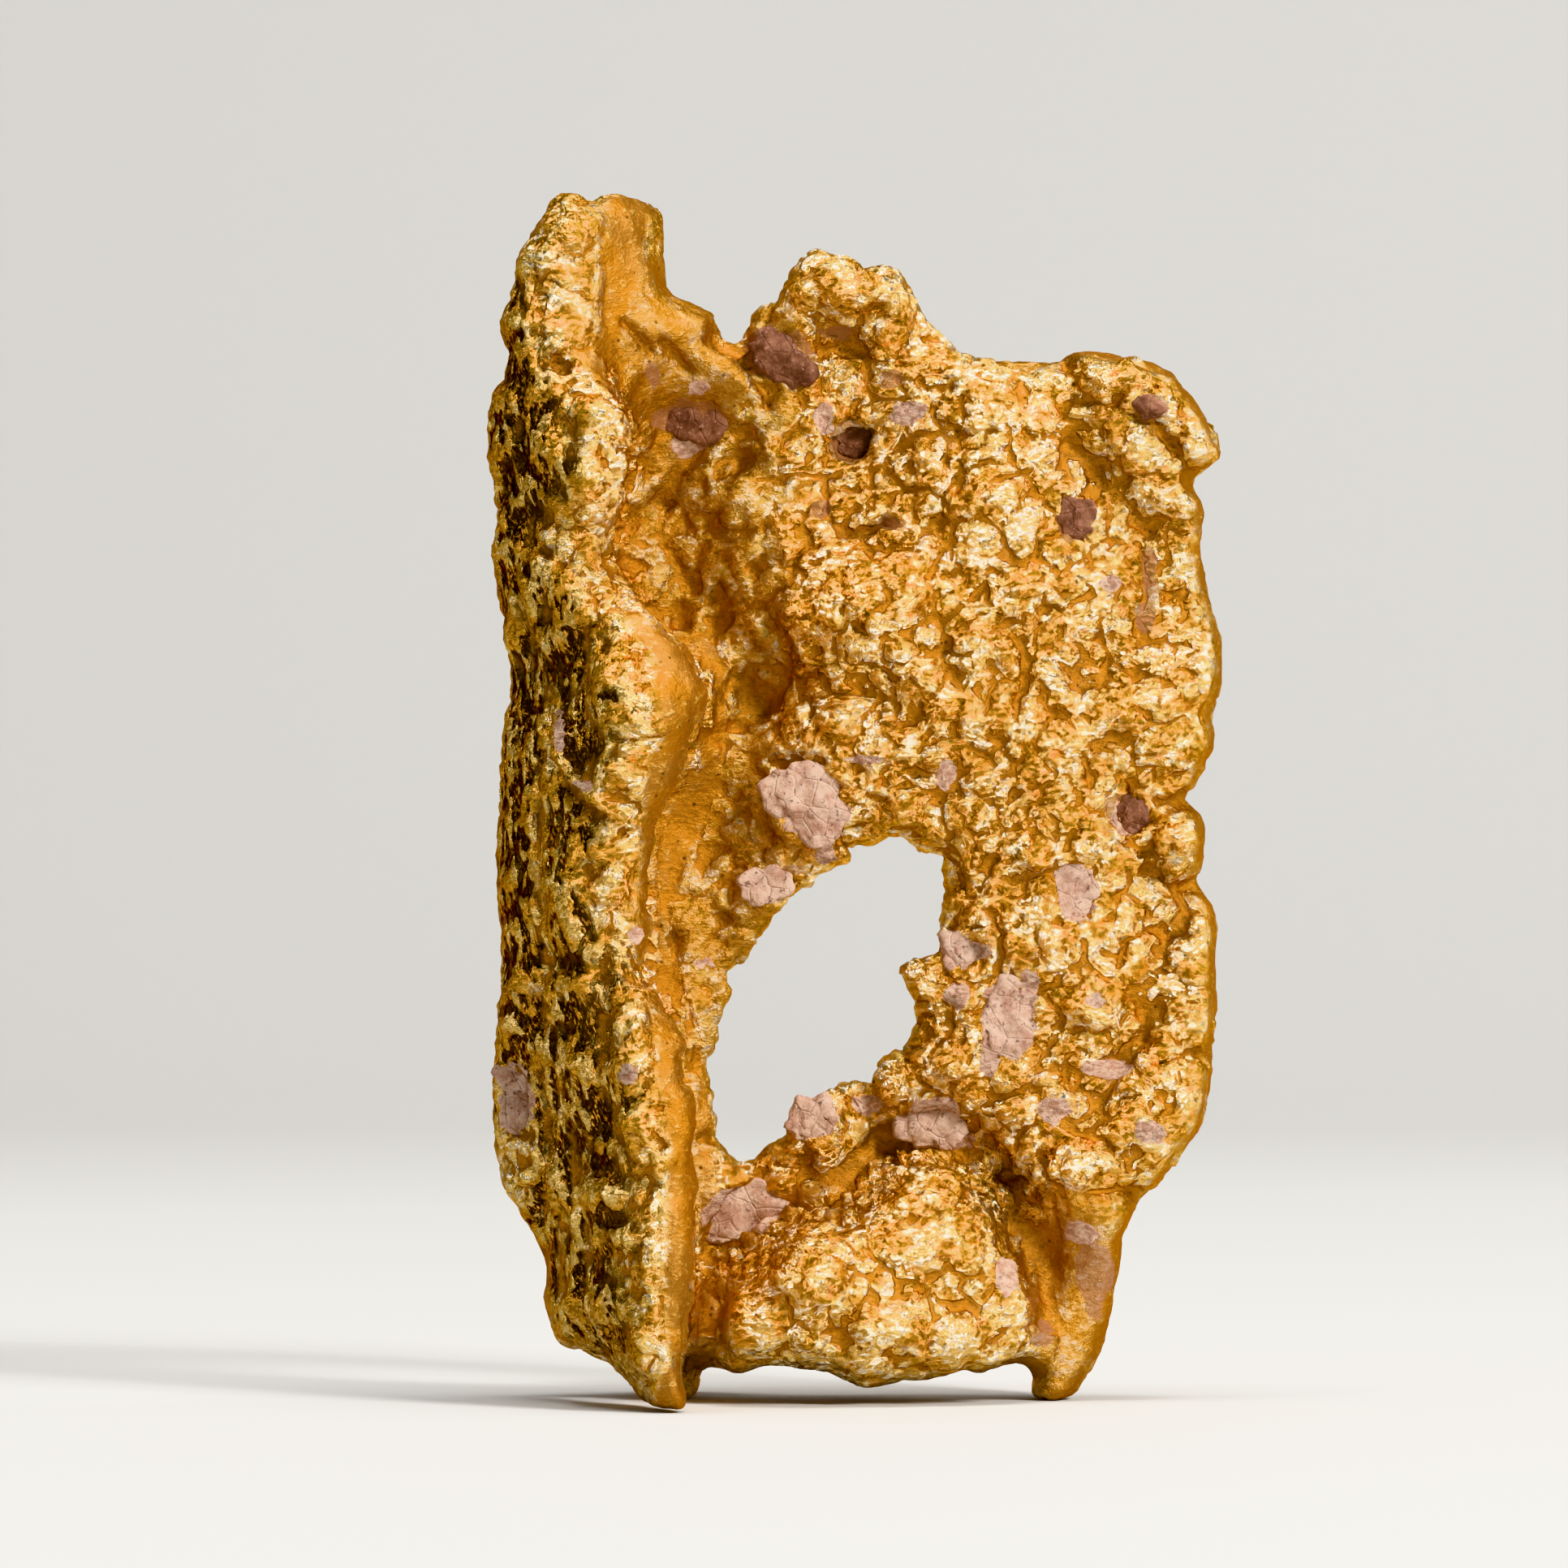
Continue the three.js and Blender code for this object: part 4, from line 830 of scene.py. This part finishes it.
class GoldNodes(Nodes):
    """The gold's node tree, with the painted masks and the textures that its parts share."""

    def __init__(self, name):
        super().__init__(name)
        # The patch mask holds painted patches of light and shade.
        masks = (self.mask(kind) for kind in ("satin", "dull", "hollow", "patch", "blotch"))
        self.satin, self.dull, self.hollow, self.patch, self.blotch = masks
        self.flange = self.mask("fibre_and_shade")
        # Less painted shade on the flange's proud lumps.
        self.fibre_and_shade = self.times(self.flange, self.rest(self.span(self.hollow, 0.42, 0.24, 0.0, 0.8)))
        leaf_place = self.stretched((1.0, 1.0, 1.6))
        self.crinkle = self.noise(2000, 4, 0.78, leaf_place)
        self.strands = self.noise(6400, 2, 0.62, self.slanted(0.4, 2.2))
        self.tilt = self.facets(3300, leaf_place)
        deep = self.math("MULTIPLY_ADD", self.crinkle, 0.5, self.hollow)
        # Creases: satin there, and a painted orange reflection of gold on gold.
        self.channel = self.span(deep, 0.9, 1.08, 0.0, 0.85)
        self.soft = self.most(self.satin, self.times(self.dull, 0.6), self.channel)
        self.foil = self.rest(self.most(self.soft, self.fibre_and_shade))

    def leaf_colour(self):
        """Foil, with painted highlights and painted dark reflections by the tilt of its small facets, over
        painted light patches.
        """
        # Facets tilting up and to the right, towards the key light, get a painted highlight; those tilting
        # away a painted dark reflection.
        glint = self.along(self.tilt, (0.7, 0.0, 0.7))
        shine = self.math("MULTIPLY_ADD", glint, 0.37, self.crinkle)
        pale = self.times(self.span(shine, 0.5, 0.62), self.span(self.patch, 0.4, 0.65, 0.15, 1.0))
        pale = self.times(pale, self.span(self.flange, 0.0, 0.6, 1.0, 0.25))
        painted_dark_reflection = self.times(self.span(shine, 0.5, 0.38), self.span(self.patch, 0.6, 0.35, 0.2, 1.0))
        leaf = self.mix(self.span(self.patch, 0.35, 0.65), GOLD_WARM, GOLD_BRIGHT)
        leaf = self.mix(self.times(pale, 0.85), leaf, GOLD_HIGHLIGHT)
        return self.mix(self.times(painted_dark_reflection, 0.62), leaf, GOLD_DARK_REFLECTION)

    def worn_and_glint_colour(self):
        """Satin and dull gold, with painted highlights on crinkle tops and painted dark reflections in the
        dull gold's low crinkles.
        """
        worn = self.mix(self.blotch, GOLD_SATIN, GOLD_ORANGE)
        worn = self.mix(self.times(self.dull, 0.7), worn, GOLD_DULL)
        worn = self.mix(self.span(self.crinkle, 0.54, 0.66, 0.0, 0.5), worn, GOLD_BRIGHT)
        return self.mix(self.times(self.span(self.crinkle, 0.46, 0.36), self.dull), worn, GOLD_DARK_REFLECTION)

    def fibre_shade_and_glints(self):
        """Painted shade on the flange's outer face, standing in for the dark surroundings it reflects, with
        painted glints on the strands.
        """
        painted_glints = self.times(self.span(self.strands, 0.52, 0.65), self.span(self.blotch, 0.3, 0.7, 0.2, 1.0))
        return self.mix(painted_glints, FIBRE_SHADE, FIBRE_GLINT)

    def dirt(self):
        """Where dirt lies: in the hollows, and as specks on the worn gold."""
        specks = self.times(self.span(self.voronoi(1500), 0.2, 0.1), self.span(self.patch, 0.45, 0.6))
        deep = self.times(self.span(self.hollow, 0.8, 1.0), self.span(self.crinkle, 0.5, 0.66, 0.0, 0.5))
        return self.most(self.times(specks, self.soft, 0.85), deep)

    def film(self, name, low, high):
        """Where a painted film lies, with a frayed edge."""
        painted = self.mask(name)
        frayed = self.times(self.math("SUBTRACT", self.crinkle, 0.5), 1.3)
        return self.times(self.span(self.plus(painted, frayed), low, high), self.span(painted, 0.02, 0.2))

    def surface(self):
        """The normal: crinkles on the foil and the clay, strands on the fibres, and tilted facets."""
        depth = self.plus(self.times(self.foil, 1.1), self.times(self.soft, 0.5))
        relief = self.times(self.crinkle, self.plus(depth, self.times(self.mask("clay"), 0.3)))
        relief = self.plus(relief, self.times(self.strands, self.fibre_and_shade, 0.45))
        share = self.plus(self.times(self.foil, 0.72), self.times(self.fibre_and_shade, 0.45))
        return self.tilted(self.bump(relief, 0.3 * MM, 0.9), self.tilt, share)


def gold_material():
    """Foil, satin, dull and fibrous gold with dirt, rust and clay, and painted highlights, reflections and
    shade.
    """
    n = GoldNodes("natural_gold")
    dirt, clay, rust = n.dirt(), n.film("clay", 0.5, 0.62), n.times(n.film("rust", 0.45, 0.65), 0.7)
    base = n.mix(n.soft, n.leaf_colour(), n.worn_and_glint_colour())
    # Painted reflection: deep orange in the creases, where gold reflects gold.
    base = n.mix(n.channel, base, GOLD_ORANGE)
    base = n.mix(n.fibre_and_shade, base, n.fibre_shade_and_glints())
    base = n.mix(dirt, base, DIRT)
    base = n.mix(rust, base, RUST)
    base = n.mix(clay, base, n.mix(n.span(n.crinkle, 0.38, 0.62), CLAY, CLAY_DARK))
    metal = n.times(n.rest(n.most(clay, rust)), n.rest(n.times(dirt, 0.6)))
    rough = n.plus(n.times(n.soft, 0.37), n.times(n.fibre_and_shade, 0.06), n.times(n.most(clay, dirt), 0.45), 0.13)
    n.shader.inputs["Specular Tint"].default_value = GRAZE
    return n.finish(base, Metallic=metal, Roughness=rough, Normal=n.surface())


def stone_material(name, pale, dark, spot):
    """Dry and matt, with spots, fine cracks and crumbs."""
    n = Nodes(name)
    n.shader.inputs["Roughness"].default_value = 0.92
    n.shader.inputs["Specular IOR Level"].default_value = 0.25
    tone = n.mix(n.span(n.noise(1000, 6, 0.7), 0.35, 0.68), pale, dark)
    tone = n.mix(n.span(n.noise(3600, 2), 0.6, 0.7, 0.0, 0.7), tone, spot)
    cracks = n.span(n.voronoi(900, "DISTANCE_TO_EDGE"), 0.0, 0.06)
    crumbs = n.plus(n.noise(1800, 7, 0.7), n.times(cracks, 0.25))
    return n.finish(tone, Normal=n.bump(crumbs, 0.25 * MM, 0.8))


# ---- The pieces -------------------------------------------------------------------------------
BED_GROWTH, BED_CAP = 0.5, 0.22

# The cap is how far a stone stands out before it is pressed flat, and the growth is how far all
# of its sides grow, which is less for the smallest grains of ironstone.
CLAY_CAP, CLAY_GROWTH = 0.42, 0.45
IRONSTONE_CAP, IRONSTONE_GROWTH = 0.5, 0.35
SMALL_GROWTH = {"ironstone_corner_knob": -0.1, "ironstone_round_pit": 0.15, "ironstone_edge_wedge": 0.3}


def dress(obj, material, node):
    """Gives a piece its material, puts it on the root body, and hides the solid it takes the place of."""
    obj.data.materials.clear()
    obj.data.materials.append(material)
    for polygon in obj.data.polygons:
        polygon.use_smooth = True
    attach(obj, "root")
    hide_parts(node)


def press_flat(points, cap, share):
    """Presses the outer side of a stone, past the cap, to a share of its height."""
    middle = (points[:, 1].min() + points[:, 1].max()) / 2
    outer = middle - points[:, 1]
    pressed = points.copy()
    pressed[:, 1] = middle - np.where(outer > cap, cap + share * (outer - cap), outer)
    return pressed


def ragged(points, number):
    """Wears the outline of a stone, seen from the front, to an uneven shape."""
    middle = (points.min(axis=0) + points.max(axis=0)) / 2
    offset = points - middle
    around = offset * (1, 0, 1)
    around /= np.linalg.norm(around, axis=1)[:, None] + 0.05
    place = number * 5.3
    reach = 1 + 0.3 * noise(around * 1.1 + place, seed=95) + 0.16 * noise(around * 2.6 + place, seed=96)
    return middle + offset * np.column_stack([reach, np.ones(len(points)), reach])


def make_bed(node):
    """The gold under a lodged stone, which fills the stone's pocket."""
    bed = copy_of(node, node + "_bed")
    put_points(bed, press_flat(points_of(bed) + BED_GROWTH * normals_of(bed), BED_CAP, 0.0))
    return bed


def make_gold():
    """The one piece of gold: the carried-over solid with its pockets filled, sculpted and painted."""
    gold = copy_of("native_gold", "gold")
    beds = [make_bed(node) for node in sorted(frame["nodes"]) if node != "native_gold"]
    select_only(gold)
    for bed in beds:
        bed.select_set(True)
    bpy.ops.object.join()
    refine(gold, GOLD_FACET)
    put_points(gold, averaged(points_of(gold), edges_of(gold), 3))
    sculpt(gold)
    triangles = sum(len(p.vertices) - 2 for p in gold.data.polygons)
    if triangles > MOST_TRIANGLES:
        apply_modifier(gold, "DECIMATE", ratio=MOST_TRIANGLES / triangles)
    low, high = np.array(cad_box[0]) / MM, np.array(cad_box[1]) / MM
    put_points(gold, np.clip(points_of(gold), low, high))
    paint(gold)
    dress(gold, gold_material(), "native_gold")


def make_stone(node, material, number, cap, growth):
    """A lodged stone or lump of clay, its outer side pressed nearly flush with the gold."""
    stone = copy_of(node, node + "_dressed")
    refine(stone, STONE_FACET)
    points, normals = points_of(stone), normals_of(stone)
    points = press_flat(ragged(points + normals * growth, number), cap, 0.12)
    place = points + number * 7.0
    height = 0.26 * billow(place / 1.3, seed=91) - 0.1 * bell(noise(place / 1.1, seed=92), 0.07)
    put_points(stone, points + normals * height[:, None])
    dress(stone, material, node)


make_gold()
clay_stuff = stone_material("dry_clay", CLAY, CLAY_DARK, CLAY_SPOT)
ironstone_stuff = stone_material("ironstone", RUST, RUST_DARK, RUST_SPOT)
for index, node_name in enumerate(sorted(frame["nodes"])):
    if node_name.startswith("clay"):
        make_stone(node_name, clay_stuff, index, CLAY_CAP, CLAY_GROWTH)
    elif node_name.startswith("ironstone"):
        side_growth = SMALL_GROWTH.get(node_name, IRONSTONE_GROWTH)
        make_stone(node_name, ironstone_stuff, index, IRONSTONE_CAP, side_growth)


# ---- Floor, lights and camera -----------------------------------------------------------------
VIEW_CENTRE = (-3.6 * MM, 2.2 * MM, 30.7 * MM)
VIEW_WIDTH = 0.07806
VIEW_DISTANCE = 0.8
VIEW_ELEVATION = 1.0
SENSOR_WIDTH = 36
NEAREST_SEEN, FARTHEST_SEEN = 0.01, 10

# The floor runs from its front edge to where it bends up into the backdrop.
FLOOR_FRONT, FLOOR_BACK = -0.9, 0.35
BEND_RADIUS = 0.25
BACKDROP_TOP = 0.9
FLOOR_HALF_WIDTH = 1.2

WORLD_STRENGTH = 0.04
LIGHT_AIM = (0, 0, 0.03)
# Name, place, size and power of each light.
LIGHTS = [
    ("key", (0.42, -0.42, 0.42), (0.15, 0.24), 6.6),
    ("overhead", (0.0, -0.06, 0.62), (0.4, 0.2), 3.8),
    ("left edge", (-0.5, -0.3, 0.3), (0.06, 0.4), 0.5),
    ("right edge", (0.5, 0.22, 0.25), (0.06, 0.4), 0.7),
    ("backdrop", (0.0, 0.1, 0.8), (0.8, 0.3), 1.4),
]


def floor_material():
    """Pale on the side of the piece and clear from behind, so that it hides no view of the back."""
    n = Nodes("pale_floor")
    n.shader.inputs["Base Color"].default_value = FLOOR_PALE
    n.shader.inputs["Roughness"].default_value = 0.75
    behind = n.add("NewGeometry").outputs["Backfacing"]
    clear = n.add("BsdfTransparent").outputs[0]
    either = n.add("MixShader", {0: behind, 1: n.shader.outputs[0], 2: clear}).outputs[0]
    n.feed(n.tree.nodes["Material Output"].inputs["Surface"], either)
    return n.material


def make_floor():
    """A pale floor that curves up into the backdrop."""
    turns = np.radians(range(0, 96, 6))
    profile = [(FLOOR_FRONT, 0.0)]
    profile += [(FLOOR_BACK + BEND_RADIUS * math.sin(t), BEND_RADIUS * (1 - math.cos(t))) for t in turns]
    profile += [(FLOOR_BACK + BEND_RADIUS, BACKDROP_TOP)]
    verts = [(x, y, z) for y, z in profile for x in (-FLOOR_HALF_WIDTH, FLOOR_HALF_WIDTH)]
    faces = [(2 * i, 2 * i + 1, 2 * i + 3, 2 * i + 2) for i in range(len(profile) - 1)]
    mesh = bpy.data.meshes.new("floor")
    mesh.from_pydata(verts, [], faces)
    mesh.materials.append(floor_material())
    for polygon in mesh.polygons:
        polygon.use_smooth = True
    floor = bpy.data.objects.new("floor", mesh)
    bpy.context.scene.collection.objects.link(floor)


def make_light(name, place, size, power):
    """A soft rectangular light that points at the piece."""
    data = bpy.data.lights.new(name, "AREA")
    data.shape = "RECTANGLE"
    data.size, data.size_y = size
    data.energy = power
    light = bpy.data.objects.new(name, data)
    bpy.context.scene.collection.objects.link(light)
    light.location = place
    aim = Vector(LIGHT_AIM) - Vector(place)
    light.rotation_euler = aim.to_track_quat("-Z", "Y").to_euler()


def make_world():
    """A faint even light from all round."""
    world = bpy.data.worlds.new("studio")
    world.use_nodes = True
    background = world.node_tree.nodes["Background"]
    background.inputs["Color"].default_value = (1, 1, 1, 1)
    background.inputs["Strength"].default_value = WORLD_STRENGTH
    bpy.context.scene.world = world


def make_camera():
    """The camera looks from the front and a little above, and sees a frame of the view's width."""
    data = bpy.data.cameras.new("camera")
    data.sensor_width = SENSOR_WIDTH
    data.lens = SENSOR_WIDTH * VIEW_DISTANCE / VIEW_WIDTH
    data.clip_start, data.clip_end = NEAREST_SEEN, FARTHEST_SEEN
    camera = bpy.data.objects.new("camera", data)
    bpy.context.scene.collection.objects.link(camera)
    tilt = math.radians(VIEW_ELEVATION)
    direction = Vector((0, -math.cos(tilt), math.sin(tilt)))
    camera.location = Vector(VIEW_CENTRE) + direction * VIEW_DISTANCE
    camera.rotation_euler = (-direction).to_track_quat("-Z", "Y").to_euler()
    bpy.context.scene.camera = camera


make_floor()
make_world()
for light_row in LIGHTS:
    make_light(*light_row)
make_camera()
bpy.context.scene.view_settings.view_transform = "Khronos PBR Neutral"
